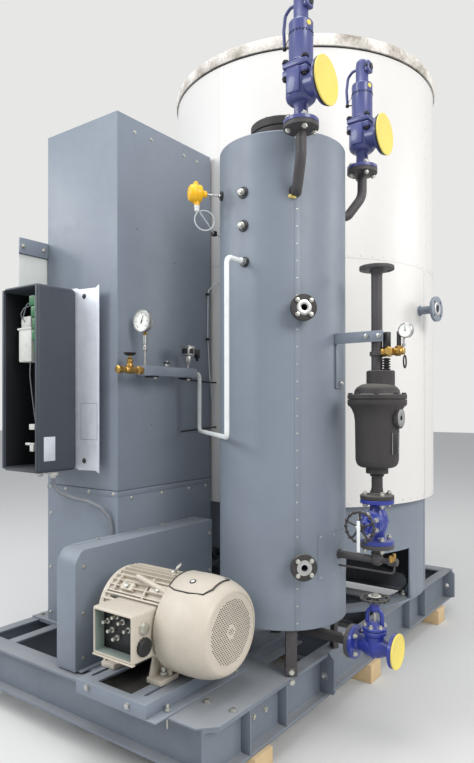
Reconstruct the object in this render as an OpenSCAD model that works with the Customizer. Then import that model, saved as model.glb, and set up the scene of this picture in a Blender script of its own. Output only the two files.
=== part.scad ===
// Industrial steam boiler package on a steel skid
// Units are millimetres, +Z is up, the origin is on the floor under the middle of the skid

/* [Skid] */
// Length of the two side beams
beam_len = 2810; // [2400:10:3200]
// Width over the side beams
skid_w = 1600; // [1400:10:1800]
// Height of every beam
beam_h = 200; // [160:10:240]
// Width of a beam flange
flange_w = 100; // [80:5:120]
// Thickness of a beam flange
flange_t = 12; // [8:1:16]
// How far a side beam's flange reaches inside its web
flange_in = 15; // [10:1:50]
// Thickness of a beam web
web_t = 8; // [6:1:12]
// Height of the timbers the skid rests on
timber_h = 100; // [60:10:160]
// Width of a timber
timber_w = 130; // [100:10:180]
// Length of a timber
timber_len = 1640; // [1500:10:1800]
// Thickness of the deck plate
deck_t = 8; // [5:1:12]
// Corner cut of the deck plate
deck_cut = 65; // [40:5:90]
// Thickness of a lifting lug
lug_t = 20; // [12:1:30]
// Height of the rail under the vessel
rail_h = 100; // [80:5:140]
// How far a lifting lug stands out of the beam
lug_out = 30; // [20:5:50]
// Diameter of the eye in a lifting lug
lug_eye_d = 26; // [18:1:40]

/* [Boiler] */
// Outer radius of the white boiler shell
shell_r = 875; // [800:5:900]
// Thickness of the shell cladding
shell_t = 10; // [6:1:20]
// Level of the shell's lower edge above the beams
skirt_h = 615; // [560:5:660]
// Height of the shell
shell_h = 2595; // [2300:5:2800]
// Height of the lid band
lid_h = 70; // [50:5:100]
// Outer radius of the base skirt
skirt_r = 820; // [760:5:840]
// Thickness of the skirt wall
skirt_t = 8; // [5:1:12]
// Height of the four skirt openings
skirt_gap_h = 320; // [260:10:360]
// Diameter of the branch flange on the shell
branch_d = 150; // [140:1:165]

/* [Casing] */
// Width of the tall casing
case_w = 560; // [500:5:600]
// Depth of the tall casing
case_d = 753; // [700:1:760]
// Height of the lower casing
case_low_h = 750; // [700:5:800]
// Height of the upper casing
case_up_h = 1929; // [1800:1:2000]
// Width of the belt guard
guard_w = 130; // [110:5:160]
// Length of the belt guard
guard_len = 974; // [900:1:1000]
// Height of the belt guard
guard_h = 537; // [480:1:560]
// Corner cut of the belt guard
guard_cut = 34; // [20:1:50]
// Gap between the casing and the boiler shell
shell_gap = 5; // [5:1:60]
// Length of the bar and the plate on the casing's left side
plate_len = 300; // [260:10:340]

/* [Separator vessel] */
// Outer radius of the separator vessel
ves_r = 300; // [280:5:310]
// Wall of the separator vessel
ves_t = 8; // [5:1:12]
// Level of its lower end above the deck
ves_low = 207; // [180:1:240]
// Height of the separator vessel
ves_h = 2175; // [2000:5:2250]
// Width of a vessel leg
leg_w = 50; // [40:1:60]
// Thickness of a vessel leg
leg_t = 22; // [16:1:40]
// Reach of the legs from the vessel axis
leg_r = 265; // [240:1:275]
// Diameter of the black pair of flanges on top
cap_d = 300; // [260:5:320]
// Diameter of the two small branch flanges
noz_d = 115; // [105:1:125]

/* [Pipes and valves] */
// Outer diameter of the larger pipes
pipe_d = 48; // [42:1:54]
// Outer diameter of the pipe to the pot
feed_d = 34; // [30:1:38]
// Gap between the separator vessel and the pot
pot_gap = 58; // [40:1:120]
// Diameter of the pipe flanges
pipe_fl_d = 150; // [140:1:165]
// Thickness of a pipe flange
pipe_fl_t = 18; // [14:1:22]
// Reach of the relief valve axes from the vessel axis
relief_r = 415; // [400:1:450]
// Diameter of the relief valve bonnet
bonnet_d = 100; // [90:1:110]
// Diameter of the relief outlet flange
outlet_d = 185; // [170:1:195]
// Diameter of the upper handwheel
wheel_up_d = 142; // [130:1:150]
// Diameter of the lower handwheel
wheel_low_d = 135; // [120:1:150]
// Diameter of a valve spindle
spindle_d = 14; // [10:1:18]
// Running gap around a spindle
spindle_gap = 0.08; // [0.02:0.01:0.1]
// Diameter of the pale instrument pipe
thin_d = 22; // [18:1:26]

/* [Instruments] */
// Side of the square gauge bar
bar_w = 50; // [40:1:60]
// Length of the gauge bar
bar_len = 408; // [380:1:440]
// Diameter of the large gauge
gauge_d = 112; // [100:1:120]
// Diameter of the small gauge
small_gauge_d = 63; // [50:1:70]

/* [Motor and drive] */
// Height of the motor axis above its base
motor_h = 223; // [200:1:230]
// Radius of the motor body
motor_r = 188; // [170:1:195]
// Radius of the fan cowl
cowl_r = 205; // [190:1:215]
// Height of the slide base
slide_h = 59; // [50:1:70]
// Height of the drive housing
drive_h = 943; // [850:1:1000]
// Width of the drive housing
drive_w = 289; // [260:1:320]
// Depth of the drive housing
drive_d = 245; // [220:1:280]
// Diameter of the drive cable
cable_d = 20; // [14:1:26]

/* [Hidden] */
$fn = 64;
zb = timber_h;
zt = timber_h + beam_h;
zd = zt + deck_t;
hl = beam_len / 2;
hw = skid_w / 2;
web_x = hw - flange_w / 2;
in_x = web_x - flange_in;
rail_x = 447;
sx = 0;
zs = zt + skirt_h;
zst = zs + shell_h;
vx = 617;
vy = -632;
zv = zd + ves_low;
zvt = zv + ves_h;
cx0 = -690;
cx1 = cx0 + case_w;
cy0 = -1003;
cy1 = cy0 + case_d;
sy = cy1 + shell_gap + shell_r;
zc = zd + case_low_h;
zct = zc + case_up_h;
gy0 = -1375;
gx1 = cx1 + guard_w;
px = vx + ves_r + pot_gap + 127;
mz = zd + slide_h + motor_h;
my = -1185;
mx0 = 132;
mx1 = 489;
mx2 = 725;
relief_root = zvt - 266;
relief_z = relief_root + 236;
relief_a = [-47, 49];
noz_a = -43.5;
pot_z = 1226;
low_x = 990;
low_z = 443;
up_z = 894;
bar_x = -30;
bar_y = -932;
bar_z = 1670;
drive_x = -673;
drive_y = -1053;
drive_z = 1157;
blue = [0.25, 0.27, 0.58];
grey = [0.46, 0.5, 0.56];
black = [0.2, 0.19, 0.19];
pale = [0.9, 0.9, 0.88];

// Shared shapes

module rod(a, b, d) {
    v = b - a;
    l = norm(v);
    translate(a)
        rotate([0, acos(v[2] / l), atan2(v[1], v[0])])
            cylinder(h = l, d = d);
}

function unit(v) = v / norm(v);

function turn(a, b, c) = acos(max(-1, min(1, unit(b - a) * unit(c - b))));

function corner(a, b, c, r, n) =
    let (u = unit(b - a), w = unit(c - b), th = turn(a, b, c), m = unit(w - (w * u) * u))
        [for (i = [0 : n]) b - u * r * tan(th / 2) + r * sin(th * i / n) * u + r * (1 - cos(th * i / n)) * m];

function smooth(pts, r, n) =
    concat([pts[0]],
        [for (i = [1 : len(pts) - 2]) each corner(pts[i - 1], pts[i], pts[i + 1], r, n)],
        [pts[len(pts) - 1]]);

function trim(pts, i, d) =
    i == 0 || i == len(pts) - 1 ? 0 : d / 2 * (1.15 * tan(turn(pts[i - 1], pts[i], pts[i + 1]) / 2) + 0.06);

// A pipe or cable along a path: short straight lengths joined by balls a little larger than the pipe

module run(pts, d) {
    for (i = [0 : len(pts) - 2])
        let (u = unit(pts[i + 1] - pts[i]))
            rod(pts[i] + trim(pts, i, d) * u, pts[i + 1] - trim(pts, i + 1, d) * u, d);
    for (i = [1 : len(pts) - 2])
        let (u = unit(pts[i] - pts[i - 1]))
            translate(pts[i])
                rotate([0, acos(u[2]), atan2(u[1], u[0])])
                    rotate([0, 0, 37])
                        sphere(r = 1.02 * sqrt(d * d / 4 + pow(trim(pts, i, d), 2)), $fn = 32);
}

module ring_flange(d, t, bore, pcd, n, hole) {
    difference() {
        cylinder(h = t, d = d);
        translate([0, 0, -1]) cylinder(h = t + 2, d = bore);
        for (i = [0 : n - 1])
            rotate([0, 0, 360 / n * (i + 0.5)])
                translate([pcd / 2, 0, -1])
                    cylinder(h = t + 2, d = hole, $fn = 24);
    }
}

module i_section() {
    translate([-flange_in, 0]) square([flange_in + flange_w / 2, flange_t]);
    translate([-flange_in, beam_h - flange_t]) square([flange_in + flange_w / 2, flange_t]);
    translate([-web_t / 2, 0]) square([web_t, beam_h]);
}

module side_beam() {
    translate([web_x, hl, zb])
        rotate([90, 0, 0])
            linear_extrude(height = beam_len) i_section();
}

// Skid

module support_timbers() {
    color([0.75, 0.68, 0.55])
        for (y = [-1095, 0, 1095])
            translate([-timber_len / 2, y - timber_w / 2, 0])
                cube([timber_len, timber_w, timber_h]);
}

module side_beams() {
    color(grey) {
        side_beam();
        mirror([1, 0, 0]) side_beam();
    }
}

cross_y = [-hl + flange_w / 2, -975, -190, 480, hl - flange_w / 2];

module cross_beams() {
    color(grey)
        for (y = cross_y) {
            translate([-in_x, y - flange_w / 2, zb])
                cube([2 * in_x, flange_w, flange_t]);
            translate([-in_x, y - flange_w / 2, zt - flange_t])
                cube([2 * in_x, flange_w, flange_t]);
            translate([-web_x + web_t / 2, y - web_t / 2, zb + flange_t])
                cube([2 * web_x - web_t, web_t, beam_h - 2 * flange_t]);
        }
}

module inner_rails() {
    color(grey) {
        translate([-606, cross_y[0] + flange_w / 2, zt - flange_t])
            cube([60, cross_y[1] - cross_y[0] - flange_w, flange_t]);
        translate([-580, cross_y[0] + web_t / 2, zb + flange_t])
            cube([web_t, cross_y[1] - cross_y[0] - web_t, beam_h - 2 * flange_t]);
        for (z = [zt - rail_h, zt - flange_t])
            translate([rail_x - flange_w / 2, cross_y[1] + flange_w / 2, z])
                cube([flange_w, cross_y[2] - cross_y[1] - flange_w, flange_t]);
        translate([rail_x - web_t / 2, cross_y[1] + web_t / 2, zt - rail_h + flange_t])
            cube([web_t, cross_y[2] - cross_y[1] - web_t, rail_h - 2 * flange_t]);
    }
}

module beam_stiffeners() {
    color(grey)
        for (s = [-1, 1], y = [-1166, -892, 25, 552, 825])
            translate([s > 0 ? web_x + web_t / 2 : -hw, y, zb + flange_t])
                cube([(flange_w - web_t) / 2, 10, beam_h - 2 * flange_t]);
}

module lug_plate() {
    difference() {
        rotate([90, 0, 0])
            linear_extrude(height = lug_t)
                polygon([[web_x + web_t / 2, zb + flange_t], [hw + lug_out, zb + flange_t],
                    [hw + lug_out, zt - 22], [hw, zt + 15], [web_x + web_t / 2, zt + 15]]);
        translate([hw - 20, 1, zb + 92])
            rotate([90, 0, 0])
                cylinder(h = lug_t + 2, d = lug_eye_d, $fn = 32);
        translate([hw - flange_w, -lug_t - 1, zt - flange_t])
            cube([flange_w, lug_t + 2, flange_t + deck_t]);
        translate([hw - flange_w, -lug_t - 1, zt + deck_t - 1])
            cube([flange_w, lug_t + 2, 30]);
    }
}

module lifting_lugs() {
    color(grey)
        for (y = [-495, 1355]) {
            translate([0, y, 0]) lug_plate();
            mirror([1, 0, 0]) translate([0, y, 0]) lug_plate();
        }
}

module deck_plate() {
    color(grey)
        translate([0, 0, zt])
            linear_extrude(height = deck_t)
                difference() {
                    polygon([[100, -hl - 20], [hw - deck_cut, -hl - 20], [hw, -hl - 20 + deck_cut],
                        [hw, -205], [-hw, -205], [-hw, -1025], [100, -1025]]);
                    translate([130, -1300]) square([430, 255]);
                    translate([rail_x + flange_w / 2, -785])
                        square([in_x - rail_x - flange_w / 2, 545]);
                }
}

// Boiler

module boiler_skirt() {
    color(grey)
        translate([sx, sy, zt]) {
            difference() {
                cylinder(h = 12, r = skirt_r + 2, $fn = 96);
                translate([0, 0, -1]) cylinder(h = 14, r = skirt_r - 120, $fn = 96);
            }
            difference() {
                translate([0, 0, 11]) cylinder(h = skirt_h - 11, r = skirt_r, $fn = 96);
                cylinder(h = skirt_h + 1, r = skirt_r - skirt_t, $fn = 96);
                for (a = [0 : 90 : 270])
                    rotate([0, 0, a - 45])
                        translate([0, 0, 12])
                            linear_extrude(height = skirt_gap_h - 12)
                                polygon([[0, 0], [1200, 0], [1200 * cos(18), 1200 * sin(18)],
                                    [1200 * cos(37), 1200 * sin(37)]]);
            }
        }
}

module boiler_floor() {
    color(pale) translate([sx, sy, zs]) cylinder(h = 14, r = shell_r - shell_t, $fn = 96);
}

module boiler_shell() {
    color(pale)
        translate([sx, sy, zs])
            difference() {
                cylinder(h = shell_h, r = shell_r, $fn = 96);
                translate([0, 0, -1]) cylinder(h = shell_h + 2, r = shell_r - shell_t, $fn = 96);
            }
}

module boiler_lid() {
    color(pale)
        translate([sx, sy, zst]) {
            cylinder(h = lid_h - 12, r = shell_r + 10, $fn = 96);
            translate([0, 0, lid_h - 12]) cylinder(h = 12, r1 = shell_r + 10, r2 = shell_r - 4, $fn = 96);
        }
}

module boiler_branch() {
    color(grey)
        translate([sx, sy, 2068])
            rotate([0, 0, -5.8])
                rotate([0, 90, 0]) {
                    difference() {
                        translate([0, 0, shell_r + 0.1]) cylinder(h = 103, d = 48);
                        translate([0, 0, shell_r + 5]) cylinder(h = 110, d = 43);
                    }
                    translate([0, 0, shell_r + 95]) ring_flange(branch_d, 18, 43, 110, 4, 18);
                }
}

// Casing and belt guard

module lower_casing() {
    color(grey) translate([cx0, cy0, zd]) cube([case_w, case_d, case_low_h]);
}

module upper_casing() {
    color(grey) translate([cx0, cy0, zc]) cube([case_w, case_d, case_up_h]);
}

module belt_guard() {
    color(grey)
        translate([cx1, gy0, zd])
            rotate([90, 0, 90])
                linear_extrude(height = guard_w)
                    polygon([[0, 0], [guard_len, 0], [guard_len, guard_h], [guard_cut, guard_h],
                        [0, guard_h - guard_cut]]);
}

module casing_bar() {
    color(grey) translate([cx0 - 10, cy0 - 178, zct - 677]) cube([10, plate_len, 85]);
}

module side_plate() {
    color([0.82, 0.84, 0.82]) translate([cx0 - 14, cy0 - 178, zc + 172]) cube([4, plate_len, 1120]);
}

// Separator vessel

module on_vessel(a, z) {
    translate([vx, vy, z]) rotate([0, 0, a]) children();
}

module separator_shell() {
    color(grey)
        translate([vx, vy, zv])
            difference() {
                cylinder(h = ves_h, r = ves_r, $fn = 96);
                translate([0, 0, -1]) cylinder(h = ves_h + 2, r = ves_r - ves_t, $fn = 96);
            }
}

module separator_floor() {
    color(grey) translate([vx, vy, zv]) cylinder(h = 10, r = ves_r - ves_t, $fn = 96);
}

module separator_top() {
    color(black)
        translate([vx, vy, zvt]) {
            cylinder(h = 10, r = ves_r, $fn = 96);
            cylinder(h = 60, d = 170);
            translate([0, 0, 55]) cylinder(h = 38, d = cap_d);
            translate([0, 0, 90]) cylinder(h = 8, d = 215);
            translate([0, 0, 95]) cylinder(h = 42, d = cap_d);
        }
}

module separator_legs() {
    color(black)
        for (a = [-50, 50, 130, 230])
            on_vessel(a, zd) {
                translate([leg_r - leg_t / 2, -leg_w / 2, 0]) cube([leg_t, leg_w, ves_low]);
                translate([leg_r - leg_t / 2 - 3, -leg_w / 2 - 2, 0]) cube([leg_t + 6, leg_w + 4, 40]);
            }
}

module branch(z) {
    on_vessel(noz_a, z)
        rotate([0, 90, 0]) {
            difference() {
                translate([0, 0, ves_r + 0.1]) cylinder(h = 56, d = 34);
                translate([0, 0, ves_r + 3]) cylinder(h = 60, d = 28);
            }
            translate([0, 0, ves_r + 52]) ring_flange(noz_d, 18, 28, 85, 4, 14);
        }
}

module separator_branches() {
    color(grey) {
        branch(zvt - 780);
        branch(zv + 291);
        for (z = [zvt - 246, zvt - 399])
            on_vessel(-92, z) rotate([0, 90, 0]) translate([0, 0, ves_r + 0.1]) cylinder(h = 18, d = 30);
    }
}

// Relief valves

module relief_pipe() {
    run(smooth([[ves_r + 0.1, 0, 0], [relief_r, 0, 0], [relief_r, 0, relief_z - relief_root - 5]],
        relief_r - ves_r - 28, 3), pipe_d);
    translate([relief_r, 0, relief_z - relief_root - pipe_fl_t]) cylinder(h = pipe_fl_t, d = pipe_fl_d - 2);
}

module relief_pipes() {
    color(black)
        for (a = relief_a) on_vessel(a, relief_root) relief_pipe();
}

module at_relief(a) {
    translate([vx + relief_r * cos(a), vy + relief_r * sin(a), relief_z]) children();
}

module relief_valve() {
    cylinder(h = pipe_fl_t, d = pipe_fl_d - 2);
    cylinder(h = 95, d = 58);
    translate([0, 0, 88]) cylinder(h = 24, d1 = 70, d2 = 122);
    translate([0, 0, 111.9]) cylinder(h = 80, d = 122);
    translate([0, 0, 151]) rotate([0, 90, 0]) cylinder(h = 98, d = 112);
    translate([97, 0, 151]) rotate([0, 90, 0]) cylinder(h = 18, d = outlet_d);
    translate([-58, -58, 190]) cube([116, 116, 61]);
    translate([0, 0, 250]) cylinder(h = 176, d = bonnet_d);
    translate([0, 0, 425]) cylinder(h = 110, d = 62);
    translate([0, 0, 534]) cylinder(h = 20, d1 = 62, d2 = 40);
    translate([24, 0, 509]) rotate([0, 90, 0]) cylinder(h = 26, d = 38);
}

module relief_valves() {
    color(blue) for (a = relief_a) at_relief(a) relief_valve();
}

module relief_lever() {
    run([[-31.1, 0, 509], [-50, 0, 509], [-69, 0, 495], [-81, 0, 462], [-85, 0, 400], [-84, 0, 330]], 11);
    translate([-84, 0, 324]) sphere(d = 22);
}

module relief_levers() {
    color([0.3, 0.32, 0.6]) for (a = relief_a) at_relief(a) relief_lever();
}

module outlet_covers() {
    color([0.95, 0.9, 0.3]) {
        for (a = relief_a)
            at_relief(a) translate([115, 0, 151]) rotate([0, 90, 0]) cylinder(h = 8, d = 203);
        translate([low_x + 200, vy, low_z]) rotate([0, 90, 0]) cylinder(h = 8, d = 154);
    }
}

// Sensor, its cable and the instrument line

sensor_a = -127;
sensor_z = zvt - 216;

module temperature_sensor() {
    color([0.95, 0.75, 0.1])
        on_vessel(sensor_a, sensor_z)
            rotate([0, 90, 0]) {
                translate([0, 0, ves_r + 0.1]) cylinder(h = 12, d = 34);
                translate([0, 0, ves_r + 0.1]) cylinder(h = 96, d = 14);
                translate([0, 0, ves_r + 86]) cylinder(h = 16, d = 30);
                translate([0, 0, ves_r + 98]) cylinder(h = 46, d = 84);
                translate([0, 0, ves_r + 143]) cylinder(h = 14, d1 = 84, d2 = 62);
            }
}

function on_sensor(r, z) = [vx + r * cos(sensor_a), vy + r * sin(sensor_a), z];

sensor_path = concat([on_sensor(421, sensor_z - 42.1), on_sensor(421, sensor_z - 59)],
    [for (t = [60 : -30 : -300])
        on_sensor(396 + 36 * cos(t), sensor_z - 112 + 42 * sin(t)) + [-0.03 * (60 - t), 0.03 * (60 - t), 0]],
    [[vx - 250, vy - 240, sensor_z - 136], [vx - 285, vy - 168, sensor_z - 144],
    [120, -500, sensor_z - 184], [cx1 + 50, -330, sensor_z - 212], [cx1 + 10, -300, sensor_z - 249],
    [cx1 + 5, -296, sensor_z - 294], [cx1 + 5, -296, 1290]]);

module sensor_cable() {
    color(pale) {
        run(sensor_path, 6);
        for (z = [2140, 1880, 1500, 1290])
            translate([cx1, -303, z]) cube([10, 14, 12]);
    }
}

pipe_in = zvt - 560;
pipe_path = [[vx - 7, vy - ves_r - 0.1, pipe_in], [vx - 7, -1066, pipe_in], [vx - 7, -1066, 1358],
    [bar_x, bar_y + bar_len + 48, 1350], [bar_x, bar_y + bar_len + 48, bar_z],
    [bar_x, bar_y + bar_len, bar_z]];

module instrument_pipe() {
    color([0.9, 0.91, 0.9]) {
        run(smooth(pipe_path, 28, 3), thin_d);
        translate([vx - 7, vy - ves_r - 0.1, pipe_in]) rotate([90, 0, 0]) cylinder(h = 26, d = 36);
    }
}

module gauge_bar() {
    color(grey) {
        translate([bar_x - bar_w / 2, bar_y, bar_z - bar_w / 2]) cube([bar_w, bar_len, bar_w]);
        for (y = [bar_y + 60, bar_y + bar_len - 90])
            translate([cx1, y, bar_z - 20]) cube([bar_x - cx1 - bar_w / 2 + 1, 30, 40]);
        translate([bar_x, bar_y + 185, bar_z + bar_w / 2 - 1]) cylinder(h = 22, d = 22);
        translate([bar_x, bar_y + 185, bar_z + bar_w / 2 + 18]) cylinder(h = 16, d = 32);
    }
}

module bar_valve() {
    color([0.75, 0.58, 0.28]) {
        translate([bar_x, bar_y, bar_z]) rotate([90, 0, 0]) cylinder(h = 165, d = 26);
        translate([bar_x, bar_y - 2, bar_z]) rotate([90, 0, 0]) cylinder(h = 30, d = 40, $fn = 24);
        translate([bar_x, bar_y - 133, bar_z]) rotate([90, 0, 0]) cylinder(h = 30, d = 38, $fn = 24);
        translate([bar_x, bar_y - 60, bar_z]) rotate([90, 0, 0]) cylinder(h = 42, d = 38);
        translate([bar_x, bar_y - 81, bar_z]) cylinder(h = 62, d = 24);
        translate([bar_x, bar_y - 81, bar_z + 60]) cylinder(h = 20, d = 12);
        translate([bar_x, bar_y - 81, bar_z + 74]) cylinder(h = 14, d = 62);
    }
}

module pressure_gauge() {
    color([0.8, 0.8, 0.8]) {
        translate([bar_x, bar_y + 24, bar_z + bar_w / 2]) cylinder(h = 175, d = 14);
        translate([bar_x, bar_y + 24, bar_z + bar_w / 2 + 96]) cylinder(h = 26, d = 24);
        translate([bar_x, bar_y + 24, bar_z + bar_w / 2 + 140]) cylinder(h = 40, d = 22);
        translate([bar_x, bar_y + 52, 1920]) rotate([90, 0, 0]) cylinder(h = 56, d = gauge_d);
    }
}

module pressure_switch() {
    color([0.72, 0.72, 0.7]) {
        translate([bar_x, bar_y + 356, bar_z + bar_w / 2]) cylinder(h = 74, d = 18);
        translate([bar_x, bar_y + 356, bar_z + bar_w / 2 + 36]) cylinder(h = 34, d = 34);
        translate([bar_x - 32, bar_y + 324, bar_z + bar_w / 2 + 72]) cube([64, 64, 58]);
        translate([bar_x, bar_y + 387, bar_z + bar_w / 2 + 100]) rotate([-90, 0, 0]) cylinder(h = 22, d = 26);
        translate([bar_x - 18, bar_y + 408, bar_z + bar_w / 2 + 76]) cube([36, 34, 40]);
    }
}

// Pot with its pipe and fittings

module pot_pipe() {
    color(black) {
        translate([px, vy, 1645]) cylinder(h = 440, d = pipe_d);
        translate([px, vy, 2083]) ring_flange(pipe_fl_d, 16, 43, 110, 4, 18);
        translate([px, vy, 1649]) cylinder(h = 22, d = 66);
        translate([px, vy, 1752]) cylinder(h = 16, d = 60);
    }
}

module pot_body() {
    color(black) {
        difference() {
            translate([px, vy, 0])
                rotate_extrude()
                    polygon([[0, pot_z], [72, pot_z], [86, pot_z + 12], [93, pot_z + 34], [95, pot_z + 200],
                        [108, pot_z + 250], [127, pot_z + 272], [127, pot_z + 294], [0, pot_z + 294]]);
            translate([px + 60, vy, 1440]) rotate([0, 90, 0]) cylinder(h = 80, d = 22);
        }
        translate([px, vy, pot_z - 27]) cylinder(h = 28, d = 96);
        difference() {
            translate([px + 80, vy, 1440]) rotate([0, 90, 0]) cylinder(h = 30, d = 90);
            translate([px + 60, vy, 1440]) rotate([0, 90, 0]) cylinder(h = 80, d = 22);
        }
        translate([px, vy, up_z + 193 + pipe_fl_t - 1])
            cylinder(h = pot_z - up_z - 193 - pipe_fl_t - 25, d = pipe_d);
        translate([px, vy, up_z + 193]) cylinder(h = pipe_fl_t, d = pipe_fl_d - 4);
    }
}

module pot_lid() {
    color(black)
        translate([px, vy, 0])
            rotate_extrude()
                polygon([[0, pot_z + 294], [127, pot_z + 294], [127, pot_z + 315], [98, pot_z + 318],
                    [86, pot_z + 345], [61, pot_z + 360], [61, 1645], [0, 1645]]);
}

module pot_bracket() {
    color(grey) {
        translate([vx + ves_r + 0.1, vy - 34, 1570]) cube([8, 62, 246]);
        translate([vx + ves_r, vy - 34 - 8, 1768]) cube([px + 62 - vx - ves_r, 8, 48]);
        for (x = [px - 38, px + 38])
            translate([x, vy - 34, 1792]) rotate([-90, 0, 0]) cylinder(h = 62, d = 10, $fn = 24);
        translate([px - 45, vy + 25, 1784]) cube([90, 8, 16]);
    }
}

module pot_fittings() {
    color([0.75, 0.58, 0.28]) {
        translate([px + 46, vy, 1645]) cylinder(h = 60, d = 20);
        translate([px + 24.3, vy - 18, 1702]) cube([102.7, 36, 46]);
        translate([px + 70, vy - 30, 1725]) rotate([90, 0, 0]) cylinder(h = 20, d = 34);
        translate([px + 70, vy - 17, 1725]) rotate([90, 0, 0]) cylinder(h = 14, d = 16);
        translate([px + 100, vy, 1746]) cylinder(h = 62, d = 18);
        translate([px + 122, vy, 1740]) cylinder(h = 46, d = 10);
        translate([px + 131, vy + 14, 1811]) rotate([90, 0, 0]) cylinder(h = 28, d = small_gauge_d);
        translate([px + 126, vy, 1680])
            rotate([0, 90, 30])
                rotate_extrude()
                    translate([26, 0])
                        circle(d = 6, $fn = 24);
    }
}

// Blue globe valves

module globe_body(l, reach) {
    for (x = [-l / 2, l / 2 - pipe_fl_t])
        translate([x, 0, 0]) rotate([0, 90, 0]) cylinder(h = pipe_fl_t, d = pipe_fl_d - 4);
    translate([-l / 2 + 5, 0, 0]) rotate([0, 90, 0]) cylinder(h = l - 10, d = 62);
    sphere(d = 104);
    cylinder(h = 72, d = 74);
    translate([0, 0, 58]) cylinder(h = 16, d = 100);
    translate([0, 0, 73]) cylinder(h = reach - 113, d = 52);
    translate([0, 0, reach - 46]) cylinder(h = 28, d = 40);
    translate([0, 0, reach - 20]) cylinder(h = 34, d = spindle_d);
    translate([0, 0, reach + 14]) cylinder(h = 8, d = 26, $fn = 24);
}

module handwheel(d) {
    difference() {
        union() {
            rotate_extrude() translate([d / 2 - 8, 0]) circle(d = 15);
            cylinder(h = 20, d = 36, center = true);
            for (a = [0 : 72 : 288])
                rotate([0, 0, a])
                    translate([10, 0, 0])
                        rotate([0, 90, 0])
                            cylinder(h = d / 2 - 16, d = 11, $fn = 24);
        }
        cylinder(h = 40, d = spindle_d + 2 * spindle_gap, center = true);
    }
}

up_reach = 176;
low_reach = 209;
up_mid = up_z + 96.5;

module upper_valve() {
    color(blue)
        translate([px, vy, up_mid])
            rotate([90, 0, 0])
                rotate([0, 0, 90])
                    globe_body(193, up_reach);
}

module upper_handwheel() {
    color(black) translate([px, vy - up_reach, up_mid]) rotate([90, 0, 0]) handwheel(wheel_up_d);
}

module lower_valve() {
    color(blue) translate([low_x + 100, vy, low_z]) globe_body(200, low_reach);
}

module lower_handwheel() {
    color(black) translate([low_x + 100, vy, low_z + low_reach]) handwheel(wheel_low_d);
}

module drain_pipes() {
    color(black) {
        rod([vx + ves_r + 0.1, vy, 822], [px - 24, vy, 822], feed_d);
        translate([px, vy, 822]) sphere(d = pipe_d + 14);
        translate([px, vy, 840]) cylinder(h = up_z - 841, d = pipe_d);
        translate([px, vy, up_z - pipe_fl_t]) cylinder(h = pipe_fl_t, d = pipe_fl_d - 4);
        rod([px + 24, vy, 822], [px + 62, vy, 822], 22);
        translate([px + 76, vy, 822]) sphere(d = 36);
        run(smooth([[px + 78, vy, 812], [px + 78, vy, 772], [vx + ves_r + 0.1, vy, 772]], 20, 3), 9);
        run(smooth([[vx, vy, zv], [vx, vy, low_z], [low_x - 10, vy, low_z]], 40, 3), pipe_d);
        translate([low_x - pipe_fl_t, vy, low_z])
            rotate([0, 90, 0])
                cylinder(h = pipe_fl_t, d = pipe_fl_d - 4);
    }
}

// Motor

module motor_base() {
    color(grey)
        difference() {
            union() {
                translate([150, -1495, zd]) cube([400, 600, slide_h]);
                translate([540, -1495, zd]) cube([60, 600, 6]);
            }
            translate([158, -1487, zd - 1]) cube([384, 584, slide_h - 7]);
            translate([244, -1458, zd]) cube([194, 520, slide_h + 2]);
            for (x = [176, 482], y = [-1440, -1080])
                translate([x, y, zd]) cube([16, 120, slide_h + 2]);
        }
}

module motor_body() {
    color([0.78, 0.77, 0.72]) {
        translate([mx0, my, mz]) rotate([0, 90, 0]) cylinder(h = mx1 - mx0 + 20, r = motor_r, $fn = 96);
        translate([0, my, mz]) rotate([0, 90, 0]) cylinder(h = mx0 + 2, d = 55);
        for (s = [-1, 1])
            translate([mx0 + 10, my + s * 152 - 40, mz - motor_h]) cube([360, 80, 18]);
        for (s = [-1, 1], x = [mx0 + 20, mx1 - 60])
            translate([x, my + s * 142 - 16, mz - motor_h + 10]) cube([60, 32, 110]);
        translate([450, my, mz + motor_r - 4]) cylinder(h = 16, d = 34);
        translate([450, my, mz + motor_r + 30])
            rotate([90, 0, 20])
                rotate_extrude()
                    translate([20, 0])
                        circle(d = 11);
    }
}

module fan_cowl() {
    color([0.78, 0.77, 0.72])
        translate([0, my, mz])
            rotate([0, 90, 0])
                difference() {
                    rotate_extrude($fn = 96)
                        polygon([[0, mx1 + 20], [motor_r, mx1 + 20], [motor_r, mx1], [cowl_r, mx1],
                            [cowl_r, mx2 - 46], [cowl_r - 8, mx2 - 22], [cowl_r - 24, mx2 - 7],
                            [cowl_r - 40, mx2], [0, mx2]]);
                    translate([0, 0, mx2 - 4]) cylinder(h = 10, r = cowl_r - 58);
                }
}

module terminal_box() {
    color([0.78, 0.77, 0.72]) {
        difference() {
            translate([239, -1485, 491]) cube([231, 156, 213]);
            translate([247, -1486, 499]) cube([215, 108, 197]);
            rotate([0, 90, 0])
                translate([-mz, my, 0])
                    cylinder(h = 600, r = motor_r + 0.01, $fn = 96);
        }
        translate([469, -1420, 660]) rotate([0, 90, 0]) cylinder(h = 18, d = 46, $fn = 24);
        translate([469, -1410, 570]) rotate([0, 90, 0]) cylinder(h = 18, d = 60);
        for (x = [320, 355, 390], z = [570, 620])
            translate([x, -1378, z]) rotate([90, 0, 0]) cylinder(h = 60, d = 14, $fn = 24);
    }
}

// Variable-speed drive

module drive_housing() {
    color([0.29, 0.31, 0.35]) {
        difference() {
            translate([drive_x, drive_y - drive_d, drive_z]) cube([drive_w, drive_d, drive_h]);
            translate([drive_x + 14, drive_y - drive_d - 1, drive_z + 14])
                cube([drive_w - 28, drive_d - 10, drive_h - 28]);
        }
        for (x = [0, 55, 110])
            translate([drive_x + 130 + x, drive_y - 110, drive_z - 36]) cylinder(h = 37, d = 38, $fn = 24);
    }
}

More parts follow.
